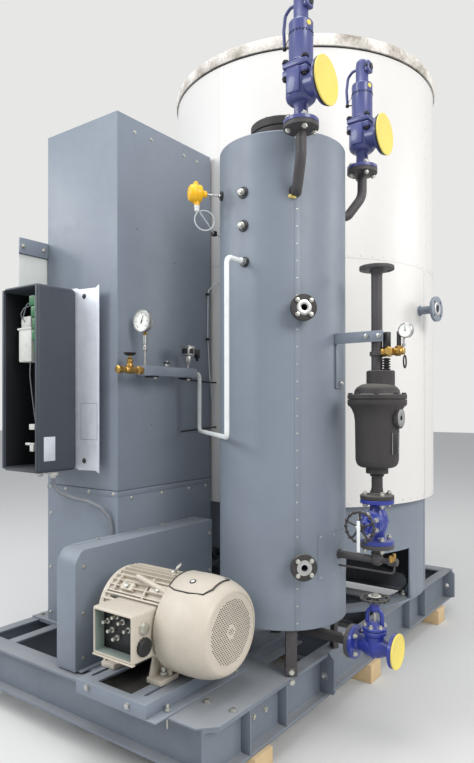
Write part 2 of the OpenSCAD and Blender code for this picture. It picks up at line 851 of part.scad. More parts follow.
module drive_plate() {
    color([0.78, 0.8, 0.84]) {
        translate([cx0, drive_y, drive_z]) cube([478, 12, drive_h + 3]);
        for (x = [cx0 + 40, cx0 + 330], z = [drive_z + 60, drive_z + drive_h - 120])
            translate([x, drive_y + 11, z]) cube([50, cy0 - drive_y - 11, 60]);
    }
}

module drive_boards() {
    color([0.2, 0.5, 0.3]) {
        translate([drive_x + drive_w - 14 - 50, drive_y - 200, drive_z + 280]) cube([8, 189, 560]);
        translate([drive_x + drive_w - 14 - 90, drive_y - 190, drive_z + 320]) cube([42, 150, 440]);
        translate([drive_x + 60, drive_y - 60, drive_z + 60]) cube([150, 49, 160]);
    }
}

cable_path = [[drive_x + 240, drive_y - 110, drive_z - 36], [drive_x + 240, drive_y - 110, drive_z - 52],
    [drive_x + 262, drive_y - 100, drive_z - 104], [drive_x + 315, drive_y - 50, drive_z - 138],
    [-270, -1072, 1004], [-205, -1042, 974], [-172, -1022, 926], [-160, -1014, 866], [-160, -1014, 660]];

module drive_cable() {
    color([0.5, 0.5, 0.5]) {
        run(cable_path, cable_d);
        for (z = [800, 650])
            translate([-178, cy0 - 14, z]) cube([36, 14, 16]);
    }
}

support_timbers();
side_beams();
cross_beams();
inner_rails();
beam_stiffeners();
lifting_lugs();
deck_plate();
boiler_skirt();
boiler_floor();
boiler_shell();
boiler_lid();
boiler_branch();
lower_casing();
upper_casing();
belt_guard();
casing_bar();
side_plate();
separator_shell();
separator_floor();
separator_top();
separator_legs();
separator_branches();
relief_pipes();
relief_valves();
relief_levers();
outlet_covers();
temperature_sensor();
sensor_cable();
instrument_pipe();
gauge_bar();
bar_valve();
pressure_gauge();
pressure_switch();
pot_pipe();
pot_body();
pot_lid();
pot_bracket();
pot_fittings();
upper_valve();
upper_handwheel();
lower_valve();
lower_handwheel();
drain_pipes();
motor_base();
motor_body();
fan_cowl();
terminal_box();
drive_housing();
drive_plate();
drive_boards();
drive_cable();
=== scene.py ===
"""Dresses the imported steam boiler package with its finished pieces, materials, stage and camera."""

import math

import bpy
from mathutils import Matrix, Vector


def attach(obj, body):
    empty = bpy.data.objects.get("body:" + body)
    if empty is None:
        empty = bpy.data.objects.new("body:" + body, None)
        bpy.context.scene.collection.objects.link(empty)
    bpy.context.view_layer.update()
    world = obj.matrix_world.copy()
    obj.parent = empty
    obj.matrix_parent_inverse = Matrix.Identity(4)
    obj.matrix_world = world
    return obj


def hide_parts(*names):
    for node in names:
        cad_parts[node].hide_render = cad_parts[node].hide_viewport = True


bl_info = {
    "name": "Steam boiler package",
    "version": (1, 0, 0),
    "blender": (4, 5, 0),
    "location": "View3D > Sidebar > Boiler",
    "description": "Finished pieces of a skid-mounted steam boiler",
    "category": "Add Mesh",
}

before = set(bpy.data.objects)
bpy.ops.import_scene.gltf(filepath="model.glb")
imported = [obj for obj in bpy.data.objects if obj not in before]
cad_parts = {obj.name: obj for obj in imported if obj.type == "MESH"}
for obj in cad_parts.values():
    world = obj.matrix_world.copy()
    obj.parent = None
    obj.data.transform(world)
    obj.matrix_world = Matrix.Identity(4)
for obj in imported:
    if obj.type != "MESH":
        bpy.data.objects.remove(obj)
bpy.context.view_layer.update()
MM = 0.001
BODY = "package"

# Main places in millimetres, as in the part
SHELL = Vector((0, 630, 0))
ROW_Y = -632
VESSEL = Vector((617, ROW_Y, 0))
BRANCH_LEVELS = (1910, 806)
ELBOW_Z = 2424
POT_X = 1102
UPPER_VALVE_Z = 990.5
LOWER_VALVE_X = 1090
TEE_Z = 822
DRAIN_Z = 443
MOTOR_Y = -1185
MOTOR_Z = 590
RELIEF_ANGLES = (-47, 49)
RELIEF_REACH = 415
RELIEF_Z = 2660
SENSOR_ANGLE = -127

# Directions of the package, seen from the motor end
RIGHT = (1, 0, 0)
LEFT = (-1, 0, 0)
BACK = (0, 1, 0)
FRONT = (0, -1, 0)
UP = (0, 0, 1)
DOWN = (0, 0, -1)

# Limits of the shaping helpers
LEAST_RADIUS = 0.01  # millimetres, so that a turned end never closes to a point
SOFTENED_ANGLE = 35  # degrees, past which an edge is rounded
STRAIGHT_ENOUGH = 0.02  # radians, under which a corner of a path stays as it is

# The camera, worked out from the straight edges in the photograph: pixels, sensor in mm, metres, degrees
PHOTO_HEIGHT = 763
FOCAL_PIXELS = 622.0
RAISED_PIXELS = 20.77
SENSOR = 36
CAMERA_PLACE = (2.2106, -3.1791, 1.500)
CAMERA_TURN = 36.203
CAMERA_PITCH = 0.171
CAMERA_ROLL = 0.053

# The stage: metres, watts and plain colours
FLOOR_SIZE = 60
FLOOR_COLOUR = (0.62, 0.62, 0.61, 1)
SKY_COLOUR = (0.93, 0.96, 1.0, 1)
SKY_STRENGTH = 0.62
BACKDROP_COLOUR = (0.80, 0.80, 0.79, 1)
LAMPS = (
    # name, place, aim, size, power, tint
    ("key", (7.5, -3.0, 5.5), (0.3, 0, 1.5), 4.0, 360, (1, 0.98, 0.95)),
    ("top", (0.5, -2.0, 8.0), (0.2, 0, 1.0), 5.0, 260, (1, 1, 1)),
    ("fill", (-3.5, -7.0, 5.5), (0, -0.8, 2.0), 3.5, 255, (0.97, 0.99, 1)),
    ("left strip", (-5.4, -3.6, 4.3), (0.5, -0.7, 2.2), 1.6, 80, (0.97, 0.99, 1)),
    ("right strip", (5.2, 3.4, 3.6), (0.6, -0.3, 1.7), 2.2, 90, (1, 0.99, 0.97)))


# Shaping helpers


def fresh():
    """Leaves edit mode with nothing selected."""
    if bpy.context.mode != "OBJECT":
        bpy.ops.object.mode_set(mode="OBJECT")
    bpy.ops.object.select_all(action="DESELECT")


def pick(obj):
    """Selects one object only and makes it the active one."""
    fresh()
    obj.select_set(True)
    bpy.context.view_layer.objects.active = obj


def facing(axis):
    """The rotation that points +Z along the axis."""
    return Vector(axis).normalized().to_track_quat("Z", "Y").to_euler()


def ray(angle):
    """The level direction at angle degrees from +X, counted towards +Y."""
    turn = math.radians(angle)
    return Vector((math.cos(turn), math.sin(turn), 0))


def lift(height):
    """A step straight up."""
    return Vector((0, 0, height))


def soften(obj, width, segments=2):
    """Rounds the sharp edges."""
    mod = obj.modifiers.new("soft edge", "BEVEL")
    mod.width = width * MM
    mod.segments = segments
    mod.limit_method = "ANGLE"
    mod.angle_limit = math.radians(SOFTENED_ANGLE)
    pick(obj)
    bpy.ops.object.modifier_apply(modifier=mod.name)
    return obj


def disc(d, t, at, axis=UP, sides=40, edge=0.0):
    """A round plate, rod or, with few sides, a nut: its diameter, thickness and foot."""
    fresh()
    a = Vector(axis).normalized()
    place = (Vector(at) + a * t / 2) * MM
    bpy.ops.mesh.primitive_cone_add(vertices=sides, radius1=d / 2 * MM, radius2=d / 2 * MM, depth=t * MM,
                                    location=place, rotation=facing(a))
    obj = bpy.context.object
    return soften(obj, edge) if edge else obj


def block(low, high, edge=0.0, segments=2):
    """A box between two corners, with its edges rounded by edge."""
    fresh()
    lo, hi = Vector(low), Vector(high)
    bpy.ops.mesh.primitive_cube_add(size=1, location=(lo + hi) / 2 * MM, scale=(hi - lo) * MM)
    obj = bpy.context.object
    bpy.ops.object.transform_apply(location=False, rotation=False, scale=True)
    return soften(obj, edge, segments) if edge else obj


def ball(d, at, scale=(1, 1, 1), sides=24):
    """A knob or lump."""
    fresh()
    bpy.ops.mesh.primitive_uv_sphere_add(
        segments=sides, ring_count=sides // 2, radius=d / 2 * MM, location=Vector(at) * MM, scale=scale)
    return bpy.context.object


def turned(profile, at=(0, 0, 0), axis=UP, sides=48):
    """A turned shape: a round plate drawn up through (radius, height) pairs."""
    fresh()
    r0, h0 = profile[0]
    bpy.ops.mesh.primitive_circle_add(vertices=sides, radius=r0 * MM, fill_type="NGON", location=(0, 0, 0))
    obj = bpy.context.object
    bpy.ops.object.mode_set(mode="EDIT")
    bpy.ops.mesh.select_all(action="SELECT")
    r, h = r0, 0.0
    for r1, h1 in profile[1:]:
        rise = h1 - h0
        bpy.ops.mesh.extrude_region_move(TRANSFORM_OT_translate={"value": (0, 0, (rise - h) * MM)})
        wide = max(r1, LEAST_RADIUS)
        k = wide / r
        if abs(k - 1) > 1e-6:
            bpy.ops.transform.resize(value=(k, k, 1), center_override=(0, 0, rise * MM))
        r, h = wide, rise
    bpy.ops.mesh.select_all(action="SELECT")
    bpy.ops.mesh.normals_make_consistent(inside=False)
    bpy.ops.object.mode_set(mode="OBJECT")
    a = Vector(axis).normalized()
    obj.rotation_euler = facing(a)
    obj.location = (Vector(at) + a * h0) * MM
    return obj


def prism(outline, t, at, axes, edge=0.0):
    """A flat plate: outline points along the first two of axes, thickness along the third."""
    x, y, z = (Vector(v) for v in axes)
    mesh = bpy.data.meshes.new("plate")
    low = [(Vector(at) + x * u + y * v) * MM for u, v in outline]
    mesh.from_pydata(low, [], [list(range(len(low)))])
    obj = bpy.data.objects.new("plate", mesh)
    bpy.context.collection.objects.link(obj)
    pick(obj)
    bpy.ops.object.mode_set(mode="EDIT")
    bpy.ops.mesh.select_all(action="SELECT")
    bpy.ops.mesh.extrude_region_move(TRANSFORM_OT_translate={"value": z * t * MM})
    bpy.ops.mesh.select_all(action="SELECT")
    bpy.ops.mesh.normals_make_consistent(inside=False)
    bpy.ops.object.mode_set(mode="OBJECT")
    return soften(obj, edge) if edge else obj


def rounded(points, radius, steps=6):
    """The path with each inner corner rounded."""
    out = [Vector(points[0])]
    for a, b, c in zip(points, points[1:], points[2:]):
        a, b, c = Vector(a), Vector(b), Vector(c)
        u, w = (b - a).normalized(), (c - b).normalized()
        turn = u.angle(w)
        if turn < STRAIGHT_ENOUGH:
            out.append(b)
            continue
        r = min(radius, 0.49 * min((b - a).length, (c - b).length) / math.tan(turn / 2))
        m = (w - w.dot(u) * u).normalized()
        start = b - u * r * math.tan(turn / 2)
        for i in range(steps + 1):
            t = turn * i / steps
            out.append(start + r * math.sin(t) * u + r * (1 - math.cos(t)) * m)
    out.append(Vector(points[-1]))
    return out


def tube(points, d, sides=6, radius=0.0, closed=False):
    """A round pipe, rod or cable along a path, its corners rounded by radius."""
    path = rounded(points, radius) if radius else [Vector(p) for p in points]
    curve = bpy.data.curves.new("path", "CURVE")
    curve.dimensions = "3D"
    curve.bevel_depth = d / 2 * MM
    curve.bevel_resolution = sides
    curve.use_fill_caps = not closed
    line = curve.splines.new("POLY")
    line.points.add(len(path) - 1)
    for p, q in zip(line.points, path):
        p.co = (*(q * MM), 1)
    line.use_cyclic_u = closed
    obj = bpy.data.objects.new("path", curve)
    bpy.context.collection.objects.link(obj)
    pick(obj)
    bpy.ops.object.convert(target="MESH")
    return bpy.context.object


def hoop(d, thick, at, axis=UP, sides=32, minor=10):
    """A round bar bent to a closed ring."""
    fresh()
    bpy.ops.mesh.primitive_torus_add(
        major_radius=d / 2 * MM, minor_radius=thick / 2 * MM, major_segments=sides, minor_segments=minor,
        location=Vector(at) * MM, rotation=facing(axis))
    return bpy.context.object


def drill(obj, cutters):
    """Cuts the joined cutters out of obj."""
    tool = merge(cutters)
    mod = obj.modifiers.new("cut", "BOOLEAN")
    mod.object = tool
    mod.solver = "EXACT"
    pick(obj)
    bpy.ops.object.modifier_apply(modifier=mod.name)
    bpy.data.objects.remove(tool)
    return obj


def merge(parts):
    """Joins the parts into one object at the origin, with their places in the mesh."""
    fresh()
    for part in parts:
        part.select_set(True)
    bpy.context.view_layer.objects.active = parts[0]
    if len(parts) > 1:
        bpy.ops.object.join()
    bpy.ops.object.transform_apply(location=True, rotation=True, scale=True)
    return bpy.context.object


def copies(model, places):
    """Copies of a model made along +Z at the origin, each spot a place, a direction and perhaps a turn."""
    made, model = [], merge([model])
    for spot in places:
        place, axis = spot[:2]
        twist = Matrix.Rotation(math.radians(spot[2]), 4, "Z") if len(spot) > 2 else Matrix()
        new = bpy.data.objects.new(model.name, model.data.copy())
        bpy.context.collection.objects.link(new)
        new.data.transform(Matrix.Translation(Vector(place) * MM) @ facing(axis).to_matrix().to_4x4()
                           @ twist)
        made.append(new)
    bpy.data.objects.remove(model)
    return made


def hex_bolt(size=10, head=0.65):
    """A hexagon head on its washer, seated at the origin."""
    return merge([disc(size * 1.85, size * head, lift(size * 0.15), sides=6, edge=size * 0.08),
                  disc(size * 2.1, size * 0.16, (0, 0, 0), sides=20)])


def stud(size=10, out=1.6):
    """A nut on a stud that stands out of it."""
    return merge([disc(size * 1.8, size * 0.85, (0, 0, 0), sides=6, edge=size * 0.08),
                  disc(size, size * out, (0, 0, 0), sides=12, edge=size * 0.1)])


def rivet(d=9):
    """A flat round rivet head."""
    fresh()
    bpy.ops.mesh.primitive_uv_sphere_add(segments=8, ring_count=4, radius=d / 2 * MM, scale=(1, 1, 0.5))
    return merge([bpy.context.object])


def ring_of(count, radius, at, axis=UP, start=0.0):
    """Places round a circle about an axis, each facing along it."""
    turn = facing(axis).to_matrix()
    spots = []
    for i in range(count):
        t = math.radians(start + 360 / count * i)
        spots.append((Vector(at) + turn @ Vector((radius * math.cos(t), radius * math.sin(t), 0)), axis))
    return spots


def ring(d, hole, t, at, axis=UP, sides=40, edge=0.0):
    """A flat ring: a circle drawn outwards, then thickened."""
    fresh()
    bpy.ops.mesh.primitive_circle_add(vertices=sides, radius=hole / 2 * MM, fill_type="NOTHING")
    obj = bpy.context.object
    bpy.ops.object.mode_set(mode="EDIT")
    bpy.ops.mesh.select_all(action="SELECT")
    bpy.ops.mesh.extrude_region_move(TRANSFORM_OT_translate={"value": (0, 0, 0)})
    k = d / hole
    bpy.ops.transform.resize(value=(k, k, 1), center_override=(0, 0, 0))
    bpy.ops.mesh.select_all(action="SELECT")
    bpy.ops.mesh.extrude_region_move(TRANSFORM_OT_translate={"value": (0, 0, t * MM)})
    bpy.ops.mesh.select_all(action="SELECT")
    bpy.ops.mesh.normals_make_consistent(inside=False)
    bpy.ops.object.mode_set(mode="OBJECT")
    obj.location = Vector(at) * MM
    obj.rotation_euler = facing(axis)
    return soften(obj, edge) if edge else obj


def spun(obj, angle, centre):
    """Turns a piece made at the origin about +Z and sets it at the centre."""
    obj = merge([obj])
    obj.data.transform(Matrix.Translation(Vector(centre) * MM)
                       @ Matrix.Rotation(math.radians(angle), 4, "Z"))
    return obj


def spun_place(centre, angle, place):
    """Where a place at the origin goes when it is turned about +Z and set at the centre."""
    return Vector(centre) + Matrix.Rotation(math.radians(angle), 3, "Z") @ Vector(place)


def round_row(centre, radius, angle, levels):
    """Places on an upright round wall, each facing outwards."""
    return [(Vector(centre) + ray(angle) * radius + lift(z), ray(angle)) for z in levels]


def pan_screw(d=14):
    """A low round screw head on its washer."""
    return merge([turned([(d * 0.5, 0), (d * 0.5, d * 0.12), (d * 0.36, d * 0.34), (d * 0.12, d * 0.42)],
                         sides=16),
                  disc(d * 1.25, d * 0.06, (0, 0, 0), sides=16)])


def finish_piece(name, parts, finish, replaces=(), body=BODY, smooth=30):
    """Joins the parts into one named piece with its finish, which rides on a body and may replace nodes."""
    obj = merge(parts)
    obj.name = obj.data.name = name
    obj.data.materials.clear()
    obj.data.materials.append(LOOKS[finish])
    pick(obj)
    bpy.ops.object.shade_smooth_by_angle(angle=math.radians(smooth))
    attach(obj, body)
    if replaces:
        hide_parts(*replaces)


# Materials


def new_group(name, inputs, outputs):
    """A node group with its sockets, and its two end nodes."""
    group = bpy.data.node_groups.new(name, "ShaderNodeTree")
    for label, kind, value in inputs:
        sock = group.interface.new_socket(label, in_out="INPUT", socket_type="NodeSocket" + kind)
        sock.default_value = value
    for label, kind in outputs:
        group.interface.new_socket(label, in_out="OUTPUT", socket_type="NodeSocket" + kind)
    return group, group.nodes.new("NodeGroupInput").outputs, group.nodes.new("NodeGroupOutput").inputs


def node(tree, kind, values=None, links=None, **settings):
    """A new shader node with its settings, the values it holds and the sockets that feed it."""
    new = tree.nodes.new("ShaderNode" + kind)
    for setting, value in settings.items():
        setattr(new, setting, value)
    for label, value in (values or {}).items():
        new.inputs[label].default_value = value
    for label, source in (links or {}).items():
        tree.links.new(source, new.inputs[label])
    return new


def mottle_group():
    """Soft colour change: two tones mixed by coarse and fine noise, with light dust on what faces up."""
    tree, given, out = new_group(
        "mottled finish",
        [("Base", "Color", (0.5, 0.5, 0.5, 1)), ("Shade", "Color", (0.3, 0.3, 0.3, 1)),
         ("Scale", "Float", 6.0), ("Amount", "Float", 0.4), ("Dust", "Float", 0.15),
         ("Roughness", "Float", 0.45), ("Spread", "Float", 0.12)],
        [("Color", "Color"), ("Roughness", "Float"), ("Mask", "Float")])
    place = node(tree, "TexCoord").outputs["Object"]
    coarse = node(tree, "TexNoise", {"Detail": 6}, {"Vector": place, "Scale": given["Scale"]})
    finer = node(tree, "Math", {1: 9}, {0: given["Scale"]}, operation="MULTIPLY")
    fine = node(tree, "TexNoise", {"Detail": 8}, {"Vector": place, "Scale": finer.outputs[0]})
    patches = node(tree, "MapRange", {"From Min": 0.42, "From Max": 0.72}, {"Value": coarse.outputs["Fac"]})
    specks = node(tree, "MapRange", {"From Min": 0.35, "From Max": 0.8}, {"Value": fine.outputs["Fac"]})
    weaker = node(tree, "Math", {1: 0.35}, {0: specks.outputs["Result"]}, operation="MULTIPLY")
    both = node(tree, "Math", {1: 0.65}, {0: patches.outputs["Result"], 2: weaker.outputs[0]},
                operation="MULTIPLY_ADD").outputs[0]
    amount = node(tree, "Math", None, {0: both, 1: given["Amount"]}, operation="MULTIPLY")
    tone = node(tree, "Mix", None, {"Factor": amount.outputs[0], 6: given["Base"], 7: given["Shade"]},
                data_type="RGBA")
    normal = node(tree, "NewGeometry").outputs["Normal"]
    split = node(tree, "SeparateXYZ", None, {0: normal})
    upward = node(tree, "MapRange", {"From Min": 0.55, "From Max": 1.0}, {"Value": split.outputs["Z"]})
    dusty = node(tree, "Math", None, {0: upward.outputs["Result"], 1: given["Dust"]}, operation="MULTIPLY")
    dusted = node(tree, "Mix", {7: (0.55, 0.52, 0.47, 1)}, {"Factor": dusty.outputs[0], 6: tone.outputs[2]},
                  data_type="RGBA")
    rough = node(tree, "Math", None, {0: both, 1: given["Spread"], 2: given["Roughness"]},
                 operation="MULTIPLY_ADD")
    tree.links.new(dusted.outputs[2], out["Color"])
    tree.links.new(rough.outputs[0], out["Roughness"])
    tree.links.new(both, out["Mask"])
    return tree


def grain_group():
    """Fine relief: cast skin, orange peel of paint or rubbed metal."""
    tree, given, out = new_group(
        "surface grain",
        [("Scale", "Float", 300.0), ("Depth", "Float", 0.1), ("Stretch", "Vector", (1, 1, 1))],
        [("Normal", "Vector")])
    place = node(tree, "TexCoord").outputs["Object"]
    mapping = node(tree, "Mapping", None, {"Vector": place, "Scale": given["Stretch"]})
    noise = node(tree, "TexNoise", {"Detail": 4}, {"Vector": mapping.outputs[0], "Scale": given["Scale"]})
    bump = node(tree, "Bump", {"Distance": 0.002},
                {"Strength": given["Depth"], "Height": noise.outputs["Fac"]})
    tree.links.new(bump.outputs[0], out["Normal"])
    return tree


MOTTLE = mottle_group()
GRAIN = grain_group()
LOOKS = {}


def look(name, base, shade, scale=6.0, amount=0.5, dust=0.1, rough=0.45, metal=0.0,
         grain=(300.0, 0.08), stretch=(1, 1, 1), coat=0.0):
    """A finish: two tones in patches, dust, roughness, and a grain of a scale and depth."""
    mat = bpy.data.materials.new(name)
    mat.use_nodes = True
    mat.diffuse_color = (*base, 1)
    skin = node(mat.node_tree, "Group", node_tree=MOTTLE, values={
        "Base": (*base, 1), "Shade": (*shade, 1), "Scale": scale, "Amount": amount, "Dust": dust,
        "Roughness": rough, "Spread": 0.15})
    relief = node(mat.node_tree, "Group", node_tree=GRAIN, values={
        "Scale": grain[0], "Depth": grain[1], "Stretch": stretch})
    surface = mat.node_tree.nodes["Principled BSDF"].inputs
    mat.node_tree.links.new(skin.outputs["Color"], surface["Base Color"])
    mat.node_tree.links.new(skin.outputs["Roughness"], surface["Roughness"])
    mat.node_tree.links.new(relief.outputs["Normal"], surface["Normal"])
    surface["Metallic"].default_value = metal
    surface["Coat Weight"].default_value = coat
    LOOKS[name] = mat


def shaded(colour, share):
    """A darker tone of a colour."""
    return [c * share for c in colour]


def srgb(r, g, b):
    """A colour as seen on a screen, 0 to 255, in the plain values that Blender takes."""
    return tuple(((c / 255 + 0.055) / 1.055) ** 2.4 if c > 10 else c / 255 / 12.92 for c in (r, g, b))


def make_looks(p):
    """All finishes, the painted ones in the colours of the settings p."""
    look("blue-grey paint", p.paint, shaded(p.paint, 0.72), scale=2.2, amount=0.45, dust=0.12,
         rough=0.42, grain=(420, 0.05))
    look("darker grey paint", shaded(p.paint, 0.82), shaded(p.paint, 0.55), scale=3, amount=0.5,
         dust=0.2, rough=0.5, grain=(380, 0.08))
    look("white cladding", p.cladding, shaded(p.cladding, 0.9), scale=1.4, amount=0.5, dust=0.05,
         rough=0.38, grain=(3, 0.35))
    look("pale sheet", srgb(205, 209, 206), srgb(180, 185, 182), scale=4, rough=0.5)
    look("black cast iron", srgb(52, 49, 49), srgb(30, 28, 28), scale=9, amount=0.6, dust=0.22, rough=0.55,
         grain=(260, 0.35))
    look("black pipe", srgb(70, 67, 69), srgb(42, 40, 42), scale=8, amount=0.6, dust=0.15, rough=0.5,
         grain=(160, 0.15))
    look("violet-blue paint", p.relief_paint, shaded(p.relief_paint, 0.55), scale=9, amount=0.5,
         dust=0.12, rough=0.32, grain=(240, 0.2), coat=0.25)
    look("deep blue paint", p.valve_paint, shaded(p.valve_paint, 0.5), scale=9, amount=0.5, dust=0.12,
         rough=0.34, grain=(240, 0.22), coat=0.25)
    look("yellow cap", p.cap_yellow, shaded(p.cap_yellow, 0.85), scale=10, amount=0.35, dust=0.0,
         rough=0.5, grain=(500, 0.04))
    look("yellow paint", srgb(245, 190, 20), srgb(220, 150, 10), scale=14, amount=0.4, rough=0.35)
    look("pale cable sheath", srgb(200, 205, 206), srgb(165, 170, 172), scale=30, rough=0.5)
    look("grey cable sheath", srgb(120, 124, 130), srgb(90, 94, 100), scale=30, rough=0.5)
    look("black rubber", srgb(35, 35, 36), srgb(22, 22, 23), scale=30, rough=0.6, grain=(500, 0.1))
    look("white pipe coat", srgb(226, 229, 228), srgb(190, 194, 195), scale=12, amount=0.5, rough=0.35)
    look("brass", srgb(196, 158, 88), srgb(140, 104, 50), scale=18, amount=0.6, dust=0.02, rough=0.28,
         metal=0.9, grain=(300, 0.1))
    look("bright steel", srgb(190, 190, 188), srgb(140, 140, 140), scale=24, amount=0.6, dust=0.02,
         rough=0.3, metal=0.9, grain=(300, 0.1))
    look("zinc bolts", srgb(198, 198, 190), srgb(150, 148, 138), scale=60, amount=0.6, dust=0.0, rough=0.35,
         metal=0.85, grain=(400, 0.1))
    look("dark bolts", srgb(60, 60, 62), srgb(30, 30, 30), scale=60, rough=0.4, metal=0.6)
    look("motor paint", p.motor_paint, shaded(p.motor_paint, 0.72), scale=7, amount=0.45, dust=0.14,
         rough=0.4, grain=(300, 0.14))
    look("dark fine-textured coat", srgb(66, 71, 80), srgb(48, 52, 60), scale=5, amount=0.4, rough=0.5,
         grain=(600, 0.25))
    look("zinc sheet", srgb(214, 218, 226), srgb(186, 190, 198), scale=16, amount=0.6, dust=0.0, rough=0.42,
         metal=0.15, grain=(30, 0.1))
    look("green board", srgb(60, 120, 80), srgb(35, 85, 55), scale=40, amount=0.6, rough=0.4)
    look("dark parts", srgb(24, 25, 28), srgb(12, 12, 14), scale=30, rough=0.5)
    look("pale parts", srgb(205, 205, 200), srgb(170, 170, 165), scale=30, rough=0.5)
    look("green-grey coat", srgb(126, 140, 134), srgb(108, 121, 116), scale=12, rough=0.55)
    look("sawn timber", srgb(205, 180, 140), srgb(165, 135, 95), scale=3, amount=0.7, dust=0.1, rough=0.8,
         grain=(60, 0.5), stretch=(0.15, 1, 1))
    look("scuffed rim", srgb(226, 222, 216), srgb(120, 108, 92), scale=7, amount=1.15, dust=0.05, rough=0.6,
         grain=(60, 0.4))
    look("gauge face", srgb(240, 240, 236), srgb(228, 228, 224), scale=20, amount=0.3, rough=0.5)
    look("gold tone", srgb(226, 208, 130), srgb(190, 165, 80), scale=20, rough=0.4, metal=0.2)


NODE_LOOKS = {
    "blue-grey paint": (
        "upper_casing lower_casing belt_guard casing_bar separator_shell separator_floor separator_branches "
        "boiler_branch boiler_skirt gauge_bar pot_bracket"),
    "darker grey paint": (
        "side_beams cross_beams inner_rails beam_stiffeners lifting_lugs deck_plate motor_base"),
    "white cladding": "boiler_floor boiler_shell boiler_lid",
    "pale sheet": "side_plate",
    "black cast iron": "separator_top separator_legs pot_body pot_lid",
    "black pipe": "relief_pipes pot_pipe drain_pipes",
    "violet-blue paint": "relief_valves relief_levers",
    "deep blue paint": "upper_valve lower_valve upper_handwheel lower_handwheel",
    "yellow cap": "outlet_covers",
    "yellow paint": "temperature_sensor",
    "pale cable sheath": "sensor_cable",
    "white pipe coat": "instrument_pipe",
    "brass": "bar_valve pot_fittings",
    "bright steel": "pressure_gauge pressure_switch",
    "motor paint": "motor_body fan_cowl terminal_box",
    "dark fine-textured coat": "drive_housing",
    "zinc sheet": "drive_plate",
    "green board": "drive_boards",
    "grey cable sheath": "drive_cable",
    "sawn timber": "support_timbers",
}


# Settings that a user may change


class BoilerLook(bpy.types.PropertyGroup):
    """Colours of the painted parts, and how closely rivets and ribs stand"""

    paint: bpy.props.FloatVectorProperty(
        name="Paint", description="Colour of the casing, vessel and skid", subtype="COLOR", size=3,
        default=srgb(122, 131, 143), min=0, max=1)
    cladding: bpy.props.FloatVectorProperty(
        name="Cladding", description="Colour of the boiler shell", subtype="COLOR", size=3,
        default=srgb(216, 214, 211), min=0, max=1)
    relief_paint: bpy.props.FloatVectorProperty(
        name="Relief valve paint", description="Colour of the two relief valves", subtype="COLOR", size=3,
        default=srgb(72, 78, 132), min=0, max=1)
    valve_paint: bpy.props.FloatVectorProperty(
        name="Globe valve paint", description="Colour of the two globe valves", subtype="COLOR", size=3,
        default=srgb(36, 52, 142), min=0, max=1)
    cap_yellow: bpy.props.FloatVectorProperty(
        name="Cap colour", description="Colour of the protective caps", subtype="COLOR", size=3,
        default=srgb(226, 207, 100), min=0, max=1)
    motor_paint: bpy.props.FloatVectorProperty(
        name="Motor paint", description="Colour of the motor", subtype="COLOR", size=3,
        default=srgb(195, 186, 172), min=0, max=1)
    rivet_pitch: bpy.props.FloatProperty(
        name="Rivet pitch", description="Distance between the rivets of the shell's seams",
        default=0.09, min=0.04, max=0.2, unit="LENGTH")
    rib_count: bpy.props.IntProperty(
        name="Motor ribs", description="Cooling ribs round the motor body", default=44, min=12, max=72)


# Pieces


class BOILER_OT_materials(bpy.types.Operator):
    """Make the materials and give each carried-over node its own"""

    bl_idname = "boiler.materials"
    bl_label = "Materials"

    def execute(self, context):
        make_looks(context.scene.boiler_look)
        for finish, names in NODE_LOOKS.items():
            for name in names.split():
                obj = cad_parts[name]
                obj.data.materials.clear()
                obj.data.materials.append(LOOKS[finish])
        return {"FINISHED"}


class BOILER_OT_stage(bpy.types.Operator):
    """Pale floor, soft lights and the camera"""

    bl_idname = "boiler.stage"
    bl_label = "Stage"

    def execute(self, context):
        fresh()
        bpy.ops.mesh.primitive_plane_add(size=FLOOR_SIZE, location=(0, 0, 0))
        floor = bpy.context.object
        floor.name = "floor"
        mat = bpy.data.materials.new("pale floor")
        mat.use_nodes = True
        surface = mat.node_tree.nodes["Principled BSDF"].inputs
        surface["Base Color"].default_value = FLOOR_COLOUR
        surface["Roughness"].default_value = 0.9
        floor.data.materials.append(mat)

        world = context.scene.world or bpy.data.worlds.new("soft sky")
        context.scene.world = world
        world.use_nodes = True
        tree = world.node_tree
        tree.nodes.clear()
        sky = node(tree, "Background", {"Color": SKY_COLOUR, "Strength": SKY_STRENGTH})
        plain = node(tree, "Background", {"Color": BACKDROP_COLOUR, "Strength": 1.0})
        path = node(tree, "LightPath")
        seen = node(tree, "MixShader", None,
                    {0: path.outputs["Is Camera Ray"], 1: sky.outputs[0], 2: plain.outputs[0]})
        node(tree, "OutputWorld", None, {"Surface": seen.outputs[0]})

        for name, place, aim, size, power, tint in LAMPS:
            data = bpy.data.lights.new(name, "AREA")
            data.shape = "DISK"
            data.size = size
            data.energy = power
            data.color = tint
            lamp = bpy.data.objects.new(name, data)
            context.collection.objects.link(lamp)
            lamp.location = place
            lamp.rotation_euler = (Vector(aim) - Vector(place)).to_track_quat("-Z", "Y").to_euler()

        data = bpy.data.cameras.new("camera")
        data.sensor_width = SENSOR
        data.lens = FOCAL_PIXELS / PHOTO_HEIGHT * SENSOR
        data.shift_y = RAISED_PIXELS / PHOTO_HEIGHT
        camera = bpy.data.objects.new("camera", data)
        context.collection.objects.link(camera)
        camera.location = CAMERA_PLACE
        camera.rotation_euler = (math.radians(90 + CAMERA_PITCH), math.radians(CAMERA_ROLL),
                                 math.radians(CAMERA_TURN))
        context.scene.camera = camera
        context.scene.view_settings.view_transform = "Standard"
        return {"FINISHED"}


